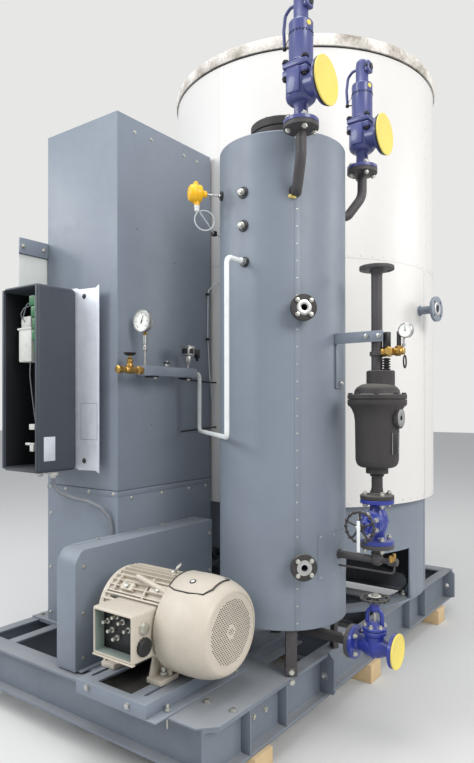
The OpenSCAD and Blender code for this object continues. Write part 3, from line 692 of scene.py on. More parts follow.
class BOILER_OT_shell(bpy.types.Operator):
    """White shell in overlapping sheets with rivets, dark joint and rim"""

    bl_idname = "boiler.shell"
    bl_label = "Shell and lid"

    def execute(self, context):
        pitch = context.scene.boiler_look.rivet_pitch / MM
        # Overlapping sheets with their seams and rivets
        skin = [turned([(873.6, 915), (873.6, 2330), (875, 2330), (875, 3513), (865, 3513), (865, 930)],
                       SHELL, sides=144)]
        seams = (-92, 0.5, 93, 180)
        for a in seams:
            skin.append(spun(block((873, -14, 918), (876.2, 14, 3510), 0.6), a - 1.3, SHELL))
        finish_piece("shell_cladding", skin, "white cladding", ("boiler_shell", "boiler_floor"))
        levels = [950 + pitch * i for i in range(int(2540 / pitch))]
        spots = []
        for a in seams:
            spots += round_row(SHELL, 876, a - 1.0, levels)
        for i in range(72):
            spots += round_row(SHELL, 875, 2 + 5 * i, (2345,))
            spots += round_row(SHELL, 873.6, 2 + 5 * i, (935,))
        finish_piece("shell_rivets", copies(rivet(8), spots), "zinc bolts")
        finish_piece("shell_joint", [turned([(868, 3512), (873, 3512), (873, 3524), (868, 3524)], SHELL,
                                            sides=144)], "dark parts")
        # Lid: scuffed rim, plain top sheet and rivets
        lid = turned([(872, 3523), (884, 3523), (885, 3527), (885, 3582), (880, 3591), (870, 3593),
                      (690, 3593), (688, 3591), (200, 3591)], SHELL, sides=144)
        finish_piece("lid_rim", [lid], "scuffed rim", ("boiler_lid",))
        finish_piece("lid_sheet", [disc(1660, 2, SHELL + lift(3592.5), sides=96, edge=0.6)],
                     "white cladding")
        spots = [(SHELL + ray(i * 7.5) * 850 + lift(3593), UP) for i in range(48)]
        finish_piece("lid_rivets", copies(rivet(9), spots), "zinc bolts")
        # Branch flange
        neck, out = SHELL + lift(2068), ray(-5.8)
        parts = [ring(150, 43, 18, neck + out * 970, out, edge=1), ring(48, 43, 100, neck + out * 874, out),
                 ring(62, 46, 5, neck + out * 875, out, edge=1.5)]
        holes = [disc(18, 30, spot, out, 16) for spot, _ in ring_of(4, 55, neck + out * 965, out, 45)]
        flange = drill(merge(parts), holes)
        finish_piece("branch_flange", [flange], "blue-grey paint", ("boiler_branch",))
        finish_piece("branch_face", [ring(84, 43.4, 2, neck + out * 988, out, edge=0.5)], "bright steel")
        return {"FINISHED"}


class BOILER_OT_skirt(bpy.types.Operator):
    """Foot bolts, seams and edge strips of the base skirt, and a dark plate inside it as painted shade"""

    bl_idname = "boiler.skirt"
    bl_label = "Base skirt"

    def execute(self, context):
        spots = []
        for k in range(4):
            for a in (-6, 14, 34):
                spots.append((SHELL + ray(k * 90 + a) * 762 + lift(312), UP))
        finish_piece("skirt_foot_bolts", copies(stud(20, 1.7), spots), "zinc bolts")
        ribs = []
        for k in range(4):
            for a in (-4, 4, 24, 43):
                web = prism([(742, 312), (812, 312), (812, 420), (800, 420)], 8, (0, 4, 0),
                            (RIGHT, UP, FRONT), 0.8)
                ribs.append(spun(web, k * 90 + a, SHELL))
        finish_piece("skirt_gussets", ribs, "blue-grey paint")
        rows = []
        for k in range(4):
            rows += round_row(SHELL, 820, k * 90 + 10.5, [360 + 75 * i for i in range(7)])
        finish_piece("skirt_rivets", copies(rivet(10), rows), "blue-grey paint")
        strips = [spun(block((818, -12, 330), (821.5, 12, 900), 0.6), k * 90 + 11.8, SHELL)
                  for k in range(4)]
        finish_piece("skirt_seams", strips, "blue-grey paint")
        # Dark plate inside the skirt, behind its rear opening: painted shade for the shadowed inside of the
        # skirt
        finish_piece("skirt_inner_painted_shade", [spun(block((596, -430, 312.5), (604, 430, 640), 1), 65, SHELL)],
                     "dark fine-textured coat")
        return {"FINISHED"}


class BOILER_OT_casing(bpy.types.Operator):
    """Folded sheet casings, their seams and screws, and the belt guard"""

    bl_idname = "boiler.casing"
    bl_label = "Casing and guard"

    def execute(self, context):
        paint = "blue-grey paint"
        tall = [block((-690, -1003, 1060), (-130, -250, 2987), 4, 3)]
        finish_piece("casing_sheet", tall, paint, ("upper_casing",))
        low = [block((-690, -1003, 308), (-130, -250, 1057), 4, 3),
               block((-691.5, -1004.5, 1030), (-128.5, -248.5, 1058), 1)]
        finish_piece("fan_casing_sheet", low, paint, ("lower_casing",))
        spots = [((-130, y, z), RIGHT) for y, z in ((-880, 2916), (-757, 2919), (-492, 2919), (-376, 2920),
                                                    (-905, 1016), (-680, 1016), (-455, 1016), (-300, 1016))]
        spots += [((x, -1004.5, 1044), FRONT) for x in (-660, -533, -345, -160)]
        spots += [((-691.5, y, 1044), LEFT) for y in (-950, -730, -510, -290)]
        spots += [((-662, -1003, z), FRONT) for z in (350, 600, 900)]
        finish_piece("casing_screws", copies(pan_screw(16), spots), "zinc bolts")
        spots = [((-130, y, z), RIGHT) for y, z in ((-865, 2416), (-570, 2290), (-760, 1390))]
        finish_piece("casing_marks", copies(rivet(7), spots), "dark bolts")
        outline = [(-1375, 308), (-401, 308), (-401, 845), (-1322, 845), (-1343, 836), (-1365, 806),
                   (-1375, 780)]
        guard = prism(outline, 130, (-130, 0, 0), (BACK, UP, RIGHT), 3)
        lip = block((-133, -1290, 838), (-101, -401, 847), 1)
        foot = block((-2, -1360, 308), (26, -405, 314), 1)
        finish_piece("guard_sheet", [guard, lip, foot], paint, ("belt_guard",))
        spots = [((-110, y, 847), UP) for y in (-1150, -860, -700, -470)]
        spots += [((0, y, z), RIGHT) for y in (-430, -1330) for z in (360, 560, 770)]
        finish_piece("guard_screws", copies(hex_bolt(9), spots), "zinc bolts")
        bar = [block((-701, -1181, 2310), (-690, -881, 2395), 1),
               block((-701, -1181, 2310), (-690.5, -1003, 2316), 0.5)]
        finish_piece("side_bar", bar, paint, ("casing_bar",))
        spots = [((-690, y, 2352), RIGHT) for y in (-1160, -1030)]
        finish_piece("side_bar_bolts", copies(hex_bolt(12), spots), "zinc bolts")
        finish_piece("side_sheet", [block((-704, -1181, 1230), (-701, -881, 2350), 1)], "pale sheet",
                     ("side_plate",))
        return {"FINISHED"}


class BOILER_OT_separator(bpy.types.Operator):
    """Separator vessel with seam, rivets, patch, plugs, flanges and legs"""

    bl_idname = "boiler.separator"
    bl_label = "Separator vessel"

    def execute(self, context):
        # Vessel with its seam and patch
        body = [turned([(296, 515), (300, 518), (300, 2687), (297, 2692), (270, 2697), (120, 2699)], VESSEL,
                       sides=96),
                spun(block((298, -13, 520), (301.2, 13, 2686), 0.5), -45.4, VESSEL)]
        arc = [(300.1 * math.cos(math.radians(a)), 300.1 * math.sin(math.radians(a)))
               for a in range(-27, 25, 3)]
        outer = [(x * 1.006, y * 1.006) for x, y in arc]
        body.append(prism(arc + outer[::-1], 208, VESSEL + lift(722), (RIGHT, BACK, UP)))
        finish_piece("separator_sheet", body, "blue-grey paint", ("separator_shell", "separator_floor"))
        # Rivets, except where something stands on the vessel
        levels = [548 + 75 * i for i in range(29)]
        levels = [z for z in levels if min(abs(z - level) for level in (*BRANCH_LEVELS, ELBOW_Z)) > 50]
        spots = round_row(VESSEL, 301.2, -45.7, levels) + round_row(VESSEL, 300, 134, levels)
        for a in (-24, -8, 8, 21):
            spots += round_row(VESSEL, 301.8, a, (737, 915))
        finish_piece("separator_rivets", copies(rivet(8), spots), "zinc bolts")
        # Two plugged ports
        dark, bright = [], []
        for a, z in ((-93, 2440), (-92.8, 2292)):
            out, foot = ray(a), VESSEL + lift(z)
            dark.append(ring(52, 24, 7, foot + out * 299, out, 32, 1.5))
            bright.append(disc(30, 20, foot + out * 298, out, 24, 1))
            bright.append(disc(24, 12, foot + out * 316, out, 6, 1))
        # Two branch flanges
        flanges, faces, bolts = [], [], []
        for z in BRANCH_LEVELS:
            out, foot = ray(-43.5), VESSEL + lift(z)
            flange = ring(115, 28, 18, foot + out * 352, out, 40, 1.2)
            flanges += [flange, ring(34, 28, 54, foot + out * 299.5, out, 24),
                        ring(48, 33, 5, foot + out * 300, out, 24)]
            faces.append(ring(66, 28.4, 2.5, foot + out * 369.6, out, 40, 0.6))
            bolts += [(spot, out) for spot, _ in ring_of(4, 42.5, foot + out * 370, out, 45)]
            bolts += [(spot, -out) for spot, _ in ring_of(4, 42.5, foot + out * 352, out, 45)]
        finish_piece("separator_flanges", flanges, "black cast iron")
        finish_piece("separator_flange_faces", faces, "bright steel")
        bright += copies(stud(12, 1.1), bolts)
        finish_piece("separator_plug_rings", dark, "dark bolts", ("separator_branches",))
        finish_piece("separator_bright_parts", bright, "zinc bolts")
        # Flange pair on top
        top = [turned([(84, 2694), (84, 2745), (90, 2752)], VESSEL, sides=48),
               turned([(146, 2745), (150, 2749), (150, 2780), (147, 2783), (108, 2784), (108, 2786),
                       (147, 2787), (150, 2790), (150, 2824), (146, 2828), (112, 2828), (110, 2824),
                       (20, 2824)], VESSEL, sides=72)]
        spots = [(s, UP) for s, _ in ring_of(8, 128, VESSEL + lift(2826))]
        nuts = copies(hex_bolt(14, 0.4), spots + [(s - lift(81), DOWN) for s, _ in spots])
        finish_piece("separator_cap", top + nuts, "black cast iron", ("separator_top",))
        # Legs
        legs, feet = [], []
        for a in (-50, 50, 130, 230):
            legs.append(spun(block((254, -25, 308), (276, 25, 515), 3, 2), a, VESSEL))
            legs.append(spun(block((251, -27, 308), (279, 27, 348), 2), a, VESSEL))
            legs.append(spun(block((250, -30, 505), (280, 30, 514.5), 1), a, VESSEL))
            feet.append((spun_place(VESSEL, a, (279, 0, 329)), ray(a)))
        finish_piece("separator_leg_tubes", legs, "black pipe", ("separator_legs",))
        finish_piece("separator_leg_bolts", copies(hex_bolt(12), feet), "zinc bolts")
        return {"FINISHED"}


class BOILER_OT_relief(bpy.types.Operator):
    """Relief elbows and the two relief valves with levers and yellow caps"""

    bl_idname = "boiler.relief"
    bl_label = "Relief valves"

    def execute(self, context):
        pipes, nuts, bodies, blacks, wires, dots, caps = [], [], [], [], [], [], []
        for a in RELIEF_ANGLES:
            out = ray(a)
            root = VESSEL + lift(ELBOW_Z)
            # Elbow, its flange and the nuts of the flange pair
            pipes += [tube([root + out * 296, root + out * 335, root + out * 414 + lift(104),
                            root + out * 415 + lift(216)], 46, 8, 95),
                      ring(58, 46, 4, root + out * 299.5, out, 32, 1.5)]
            base = VESSEL + out * RELIEF_REACH + lift(RELIEF_Z)
            pipes.append(turned([(30, -26), (44, -22), (72, -18), (74, -16), (74, -2), (72, 0)], base))
            for s, _ in ring_of(4, 55, base, UP, 45):
                nuts += [(s - lift(18), DOWN), (s + lift(18), UP)]
            # Cast body, the plates at its neck and the flat boss in front
            bodies.append(turned([(72, 1), (74, 3), (74, 16), (72, 18), (36, 20), (30, 26), (29, 76),
                                  (34, 86), (50, 91), (60, 101), (64, 114), (64, 176), (56, 190)], base))
            for low, high in ((188, 219), (223, 250)):
                bodies.append(block(base + Vector((-58, -58, low)), base + Vector((58, 58, high)), 7, 3))
            bodies.append(block(base + Vector((-30, -69, 112)), base + Vector((30, -50, 214)), 3))
            # Bonnet and its cap
            bodies.append(turned([(50, 249), (54, 254), (51, 262), (51, 369), (49, 371), (49, 377),
                                  (51, 379), (51, 420), (47, 426), (33, 428), (31, 432), (31, 520),
                                  (28, 536), (18, 547), (2, 551)], base))
            # Outlet flange
            side = base + lift(151)
            bodies.append(turned([(56, 20), (54, 74), (58, 88), (90, 95), (92, 98), (92, 113), (90, 115)],
                                 side, RIGHT))
            # Bearing of the lever with its pins
            bodies.append(block(base + Vector((22, -26, 478)), base + Vector((48, 26, 532)), 9, 3))
            blacks += [disc(34, 8, base + Vector((44, 0, 505)), RIGHT, 24, 1.5),
                       disc(14, 66, base + Vector((34, 33, 505)), FRONT, 16, 1)]
            # Ring of small holes, drawn as dark discs that paint the shade inside them, and the bolts at the
            # neck
            blacks += copies(disc(5, 5, (0, 0, 0), sides=8),
                             [(s, s - base - lift(374)) for s, _ in ring_of(22, 49, base + lift(374))])
            for s in ((-46, -46), (46, -46), (-46, 46), (46, 46)):
                spot = base + Vector((*s, 0))
                blacks += copies(hex_bolt(15), [(spot + lift(250), UP), (spot + lift(188), DOWN)])
            # Bent lever with its knob, rod and wire
            bodies.append(tube([base + Vector(v) for v in ((-26, 0, 509), (-52, 0, 507), (-76, 0, 482),
                                                           (-84, 0, 420), (-80, 0, 350))], 14, 5, 30))
            blacks.append(ball(20, base + Vector((-80, 0, 344))))
            blacks.append(tube([base + Vector((-80, 0, 342)), base + Vector((-48, 0, 340))], 6, 3))
            wires.append(tube([base + Vector(v) for v in ((-80, 0, 348), (-66, -6, 362), (-48, -10, 378))],
                              3, 3, 8))
            # Round mark, and the cap over the outlet with its dark ring
            dots.append(disc(22, 3, base + ray(-20) * 50 + lift(404), ray(-20), 20, 1))
            caps.append(turned([(93, 115), (97, 116), (98, 119), (97, 122), (93, 123), (88, 121)], side,
                               RIGHT, sides=64))
            blacks.append(ring(193, 160, 9, side + Vector((107, 0, 0)), RIGHT, 64, 1))
        finish_piece("relief_elbows", pipes, "black pipe", ("relief_pipes",))
        finish_piece("relief_flange_nuts", copies(stud(15, 1.2), nuts), "zinc bolts")
        finish_piece("relief_bodies", bodies, "violet-blue paint", ("relief_valves", "relief_levers"))
        finish_piece("relief_black_parts", blacks + wires, "dark bolts")
        finish_piece("relief_dots", dots, "yellow cap")
        # Cap over the free end of the lower globe valve
        caps.append(turned([(70, 100), (74, 101), (75, 104), (74, 107), (70, 108), (66, 106)],
                           (LOWER_VALVE_X, ROW_Y, DRAIN_Z), RIGHT, sides=48))
        finish_piece("yellow_caps", caps, "yellow cap", ("outlet_covers",))
        # Golden lumps where the first elbow leaves the vessel
        patch = VESSEL + ray(-49) * 300 + lift(2398)
        finish_piece("bare_patch", [ball(26, patch + Vector((-8, -6, 4)), (1, 1, 0.7), 12),
                                    ball(20, patch + Vector((8, -2, -2)), (1, 1, 0.6), 12)], "gold tone")
        return {"FINISHED"}


class BOILER_OT_instruments(bpy.types.Operator):
    """Temperature sensor with its cable, white pipe, gauge bar, brass valve, gauge and switch"""

    bl_idname = "boiler.instruments"
    bl_label = "Instruments"

    def execute(self, context):
        # Temperature sensor
        out, foot = ray(SENSOR_ANGLE), VESSEL + lift(2474)
        head = [turned([(26, 396), (36, 400), (40, 408), (40, 424), (44, 427), (45, 431), (44, 436),
                        (40, 440), (39, 448), (34, 456), (24, 461), (8, 463)], foot, out, 40),
                turned([(9, 372), (15, 377), (16, 390), (26, 404)], foot, out, 24),
                turned([(13, 20), (13, 54), (11, 56)], foot + out * 421, DOWN, 20),
                turned([(11, 30), (12, 50), (7, 55)], foot + out * 426, UP, 16)]
        finish_piece("sensor_head", head, "yellow paint", ("temperature_sensor",))
        finish_piece("sensor_rod", [disc(8.5, 84, foot + out * 300, out, 20),
                                    disc(18, 10, foot + out * 309, out, 6, 1)], "bright steel")
        finish_piece("sensor_plug", [ring(44, 13, 9, foot + out * 299.4, out, 32, 2)], "dark bolts")
        finish_piece("sensor_gland", [turned([(10, 54), (13, 56), (13, 66), (11, 68), (11, 80), (7, 84)],
                                             foot + out * 421, DOWN, 20)], "white pipe coat")
        # Its cable: one loop, then behind the vessel and down the edge of the casing
        loop = [foot + out * 421 + lift(-46), foot + out * 421 + lift(-59)]
        for t in range(60, -301, -20):
            turn = math.radians(t)
            loop.append(foot + out * (384 + 48 * math.cos(turn))
                        + Vector((-0.03 * (60 - t), 0.03 * (60 - t), -118 + 48 * math.sin(turn))))
        loop += [Vector(v)
                 for v in ((367, -872, 2338), (332, -800, 2330), (330, -600, 2310), (180, -380, 2270),
                           (0, -205, 2240), (-90, -250, 2222), (-122, -284, 2176), (-125, -284, 1890),
                           (-124, -266, 1660), (-112, -240, 1420), (-100, -226, 1250))]
        finish_piece("sensor_lead", [tube(loop, 6, 4, 30)], "pale cable sheath", ("sensor_cable",))
        clips = [block((-130, -298, z), (-117, -274, z + 15), 3) for z in (2148, 1880)]
        # Two thin black rods along the right side of the casing, bending round behind it
        clips += [tube([(-128, -520, 1643), (-122, -300, 1632), (-60, -140, 1624)], 9, 3),
                  tube([(-128, -520, 1345), (-122, -300, 1357), (-60, -140, 1372)], 9, 3)]
        clips.append(block((322, -812, 2318), (344, -790, 2342), 3))
        finish_piece("sensor_clips_and_rods", clips, "black rubber")

        # White pipe from the vessel to the gauge bar
        line = [(610, -932, 2130), (610, -1066, 2130), (610, -1066, 1358), (-30, -476, 1350),
                (-30, -476, 1670), (-30, -524, 1670)]
        finish_piece("instrument_line", [tube(line, 22, 6, 28)], "white pipe coat", ("instrument_pipe",))
        nuts = [disc(35, 14, (610, -938, 2130), FRONT, 6, 1.5),
                disc(30, 10, (610, -954, 2130), FRONT, 24, 2), disc(34, 12, (-30, -524, 1670), BACK, 6, 1),
                disc(29, 9, (-30, -510, 1670), BACK, 6, 1)]
        nuts += [turned([(11, 1694), (15, 1697), (16, 1706), (12, 1712), (12, 1716)], (-30, -747, 0),
                        sides=20),
                 disc(13, 7, (-30, -747, 1721), UP, 6, 1)]
        finish_piece("line_nuts", nuts, "bright steel")
        finish_piece("line_dark_rings", [ring(46, 23, 7, (610, -932, 2130), FRONT, 32, 1.5),
                                         ring(34, 10, 8, (-30, -747, 1714), UP, 24, 2)], "dark bolts")
        # Gauge bar on its two arms
        bar = [block((-55, -932, 1645), (-5, -524, 1695), 3, 3)]
        bar += [block((-130, y, 1650), (-54, y + 30, 1690), 2) for y in (-872, -614)]
        finish_piece("gauge_bar_body", bar, "blue-grey paint", ("gauge_bar",))
        straps = [block((-62, y - 6, 1637), (0, y + 36, 1645.5), 1.5) for y in (-872, -614)]
        finish_piece("bar_straps", straps, "dark parts")
        finish_piece("bar_strap_bolts",
                     copies(hex_bolt(10), [((-8, y + 15, 1637), DOWN) for y in (-872, -614)]), "zinc bolts")

        # Brass valve at the front end of the bar
        tap = [turned([(19, 0), (20, 3), (20, 26), (14, 32), (13, 44), (19, 56), (20, 80), (19, 102),
                       (13, 112), (13, 130), (18, 134)], (-30, -932, 1670), FRONT, 24),
               disc(42, 26, (-30, -936, 1670), FRONT, 6, 1.5),
               disc(40, 30, (-30, -1066, 1670), FRONT, 6, 1.5),
               turned([(15, 14), (18, 20), (17, 30), (12, 36), (16, 42), (16, 52), (10, 58), (6, 60),
                       (6, 74)], (-30, -1013, 1670), sides=24)]
        finish_piece("bar_valve_body", tap, "brass", ("bar_valve",))
        finish_piece("bar_valve_wheel", [turned([(8, 0), (22, 4), (31, 13), (31, 16), (29, 17), (20, 9),
                                                 (6, 8)], (-30, -1013, 1739), sides=40)], "dark parts")
        # Dial gauge
        centre = Vector((-30, -880, 1920))
        case = [turned([(44, 20), (52, 22), (54, 27), (54, 41), (58, 44), (58, 55), (56, 57), (52.5, 57),
                        (51, 51)], centre, FRONT, 64),
                turned([(10, 1770), (13, 1774), (13, 1790), (9, 1794), (8, 1800), (12, 1806), (12, 1848),
                        (9, 1850)], (-30, -908, 0), sides=20),
                disc(11, 80, (-30, -908, 1700), sides=16), disc(22, 16, (-30, -908, 1695), sides=6, edge=1)]
        finish_piece("gauge_case", case, "bright steel", ("pressure_gauge",))
        finish_piece("gauge_neck", [block((-37, -915, 1848), (-23, -901, 1870), 1)], "brass")
        plate = centre + Vector((0, -50.9, 0))
        finish_piece("gauge_dial", [disc(102, 0.8, plate, FRONT, 64)], "gauge face")
        marks = copies(block((-0.7, 38, 0.8), (0.7, 46, 1.2)),
                       [(plate, FRONT, a) for a in range(-135, 136, 9)])
        marks += copies(block((-1.2, 34, 0.8), (1.2, 46, 1.3)),
                        [(plate, FRONT, a) for a in range(-135, 136, 45)])
        marks += copies(prism([(-3, -14), (3, -14), (0.8, 32), (-0.8, 32)], 0.8, (0, 0, 2),
                              (RIGHT, BACK, UP)), [(plate, FRONT, -22)])
        marks.append(disc(9, 3, plate, FRONT, 20, 0.5))
        finish_piece("gauge_marks", marks, "dark parts")
        # Pressure switch and its plug
        switch = Vector((-30, -576, 0))
        steel = [turned([(8, 1695), (10, 1700), (6, 1704), (6, 1722), (13, 1726), (13, 1734), (8, 1738)],
                        switch, sides=20),
                 disc(34, 30, switch + lift(1736), sides=6, edge=1.5),
                 block((-56, -602, 1768), (-4, -550, 1814), 3, 2),
                 block((-59, -605, 1813), (-1, -547, 1819), 1.5)]
        finish_piece("switch_body", steel, "bright steel", ("pressure_switch",))
        dark = [block((-4.6, -594, 1777), (-3.4, -558, 1805), 0.4),
                block((-49, -602.6, 1777), (-11, -601.4, 1805), 0.4),
                block((-45, -552, 1776), (-13, -500, 1806), 4, 2),
                block((-42, -508, 1756), (-18, -484, 1806), 4, 2),
                disc(16, 16, (-30, -496, 1757), DOWN, 16, 2)]
        finish_piece("switch_plug", dark, "black rubber")
        return {"FINISHED"}


class BOILER_OT_pot(bpy.types.Operator):
    """Black pot with its lid, pipe, bracket and brass fittings"""

    bl_idname = "boiler.pot"
    bl_label = "Pot"

    def execute(self, context):
        axis = Vector((POT_X, ROW_Y, 0))
        # Top flange and pipe
        flange = drill(ring(150, 43, 16, axis + lift(2083), edge=1.2, sides=56),
                       [disc(18, 30, s, sides=16) for s, _ in ring_of(4, 55, axis + lift(2076), start=45)])
        pipe = [flange, ring(86, 43, 2, axis + lift(2098), edge=0.5), ring(48, 43, 340, axis + lift(1746)),
                turned([(24, 2060), (26, 2072), (33, 2083)], axis, sides=40),
                disc(48, 104, axis + lift(1645))]
        pipe.append(turned([(28, 1708), (31, 1710), (31, 1726), (28, 1728)], axis, sides=40))
        finish_piece("pot_tower", pipe, "black pipe", ("pot_pipe",))
        # Pot with its side port
        body = [turned([(48, 1199), (48, 1224), (70, 1226), (82, 1232), (89, 1243), (93, 1260), (95, 1426),
                        (99, 1452), (108, 1476), (119, 1492), (126, 1498), (127, 1500), (127, 1519)], axis,
                       sides=64),
                disc(48, 96, axis + lift(1105), sides=32), ring(60, 47, 8, axis + lift(1186), edge=2),
                turned([(24, 1140), (27, 1116), (40, 1106)][::-1], axis, sides=32),
                turned([(71, 1088), (73, 1090), (73, 1103), (71, 1105), (40, 1106)], axis, sides=56)]
        side = axis + lift(1440)
        port = turned([(40, 80), (43, 92), (45, 94), (45, 107), (43, 109)], side, RIGHT)
        drill(port, [disc(22, 60, side + Vector((84, 0, 0)), RIGHT, 24)])
        finish_piece("pot_shell", [*body, port], "black cast iron", ("pot_body",))
        finish_piece("pot_port_face", [ring(74, 22.4, 2, side + Vector((108.6, 0, 0)), RIGHT, edge=0.6)],
                     "bright steel")
        # Cover with its bolts
        lid = [turned([(124, 1521), (127, 1523), (127, 1538), (124, 1541), (106, 1542), (99, 1545),
                       (96, 1560), (86, 1573), (66, 1585), (40, 1590)], axis, sides=64),
               turned([(61, 1560), (61, 1641), (57, 1645)], axis + Vector((13, 9, 0)), sides=56),
               disc(238, 5, axis + lift(1517), sides=56)]
        places = [s for s, _ in ring_of(8, 114, axis, start=22.5)]
        lid += copies(hex_bolt(11, 0.55),
                      [(s + lift(1541), UP) for s in places] + [(s + lift(1498), DOWN) for s in places])
        finish_piece("pot_cover", lid, "black cast iron", ("pot_lid",))
        # Small plain plate in its frame
        plate = [spun(block((93, -19, 1288), (95, 19, 1377), 0.4), -14, axis)]
        finish_piece("pot_plate", plate, "dark parts")
        trim = [spun(block((94, y, 1287), (96, y + 3, 1378)), -14, axis) for y in (-21, 18)]
        finish_piece("pot_plate_frame", trim, "bright steel")
        # Bracket and clamp
        arm = [block((917.5, -666, 1570), (925, -604, 1816), 1.5),
               block((917.5, -674, 1768), (1146, -666, 1816), 1.5),
               block((1057, -607, 1784), (1147, -599, 1800), 1)]
        finish_piece("pot_arm", arm, "blue-grey paint", ("pot_bracket",))
        clamp = [tube([(x, -676, 1792), (x, ROW_Y, 1792)], 9, 4) for x in (1073, 1131)]
        bow = [Vector((POT_X, ROW_Y, 1792)) + ray(a) * 29 for a in range(0, 181, 15)]
        clamp.append(tube(bow, 9, 4))
        finish_piece("pot_clamp", clamp, "dark bolts")
        # Bright studs, and the small dial on its stem
        bright = copies(stud(13, 1.3),
                        [((x, -674, 1792), FRONT) for x in (1073, 1131)] + [((925, -636, 1592), RIGHT)])
        bright += [disc(10, 62, (1224, ROW_Y, 1742), sides=16), disc(16, 8, (1224, ROW_Y, 1748), sides=6),
                   turned([(26, 0), (30, 2), (31.5, 5), (31.5, 24), (30, 26), (28, 27), (27, 24)],
                          (1233, -618, 1811), FRONT, 40)]
        finish_piece("pot_bright_parts", bright, "bright steel")
        finish_piece("small_dial", [disc(54, 0.8, (1233, -641.8, 1811), FRONT, 40)], "gauge face")
        finish_piece("small_dial_hand", [spun(block((-1, -643.4, 0), (1, -642.6, 22)), 0, (1233, 0, 1808)),
                                         disc(6, 1.6, (1233, -642, 1811), FRONT, 16)], "dark parts")
        # Brass fittings, their black knobs and the ring
        row = Vector((0, ROW_Y, 1725))
        brass = [disc(44, 20, row + Vector((1127, 0, 0)), RIGHT, 6, 2),
                 disc(34, 80, row + Vector((1128, 0, 0)), RIGHT, 24, 1),
                 turned([(17, 0), (22, 4), (22, 14), (17, 18)], row + Vector((1150, 0, 0)), RIGHT, 24),
                 disc(42, 24, row + Vector((1186, 0, 0)), RIGHT, 6, 2),
                 disc(30, 14, row + Vector((1212, 0, 0)), RIGHT, 20, 1),
                 turned([(16, 12), (17, 26), (20, 30), (20, 46), (16, 50)], row + Vector((1172, 0, 0)),
                        FRONT, 6),
                 turned([(14, -12), (17, -8), (17, 20), (12, 24)], row + Vector((1202, 0, 0)), sides=6)]
        finish_piece("pot_brass", brass, "brass", ("pot_fittings",))
        ridges = [(9, 1645)] + [(r, 1646 + 11 * i + k) for i in range(5)
                                for r, k in ((18, 2), (18, 5), (9, 9))]
        black = [turned(ridges, (1146, ROW_Y, 0), sides=20),
                 disc(19, 64, (1202, ROW_Y, 1746), edge=2, sides=20),
                 disc(34, 66, (1148, ROW_Y, 1744), edge=2, sides=24),
                 hoop(52, 7, (1228, ROW_Y, 1680), (0.987, 0.16, 0))]
        finish_piece("pot_black_fittings", black, "dark bolts")
        return {"FINISHED"}


def globe(at, along, up, length, reach, ends=(-1, 1)):
    """A flanged globe valve: blue castings, and bright bolts at the flanges that are joined to a pipe."""
    at, along, up = Vector(at), Vector(along), Vector(up)
    half = length / 2
    body = [turned([(71, -half), (73, 2 - half), (73, 16 - half), (70, 18 - half), (36, 20 - half),
                    (31, 30 - half), (33, -50), (42, -34), (47, -16), (48, 0), (47, 16), (42, 34), (33, 50),
                    (31, half - 30), (36, half - 20), (70, half - 18), (73, half - 16), (73, half - 2),
                    (71, half)], at, along),
            turned([(46, 8), (43, 34), (42, 48), (50, 55), (53, 58), (53, 69), (51, 71), (46, 72), (46, 76),
                    (53, 77), (53, 85), (50, 88), (40, 90), (31, 104), (24, 110)], at, up)]
    body.append(hoop(100, 7, at, along, 40, 8))
    for s in (-1, 1):
        side = along * s
        body.append(tube([at + side * 28 + up * 84, at + side * 35 + up * 106, at + side * 32
                          + up * (reach - 60), at + side * 10 + up * (reach - 38)], 19, 5, 24))
    body.append(turned([(17, reach - 56), (23, reach - 50), (22, reach - 30), (15, reach - 24)], at, up,
                       24))
    studs = []
    for s in ends:
        for spot, _ in ring_of(4, 55, at + along * s * (half - 18), along, 45):
            studs.append((spot, along * -s))
            studs.append((spot + along * s * 36, along * s))
    for spot, _ in ring_of(6, 41, at + up * 85, up, 30):
        studs.append((spot, up))
    bright = copies(stud(13, 1.4), studs)
    bright += [disc(13.6, reach - 86, at + up * 100, up, 20),
               turned([(10, reach + 11), (13, reach + 12), (13, reach + 19), (8, reach + 22)], at, up, 6)]
    return body, bright


def wheel(at, axis, d):
    """A handwheel with a knuckled rim, hub and bowed spokes."""
    at, axis = Vector(at), Vector(axis)
    turn = facing(axis).to_matrix()
    rim = d / 2 - 8
    parts = [hoop(2 * rim - 1, 9, at, axis, 60, 10), ring(35, 14.4, 19, at - axis * 9.5, axis, 28, 1.5)]
    for spot, _ in ring_of(16, rim, at, axis):
        parts.append(ball(16, spot, sides=10))
    for i in range(5):
        t = math.radians(72 * i + 18)
        way = turn @ Vector((math.cos(t), math.sin(t), 0))
        parts.append(tube([at + way * 14, at + way * (rim * 0.6) - axis * 3, at + way * rim], 9, 4, 30))
    return parts


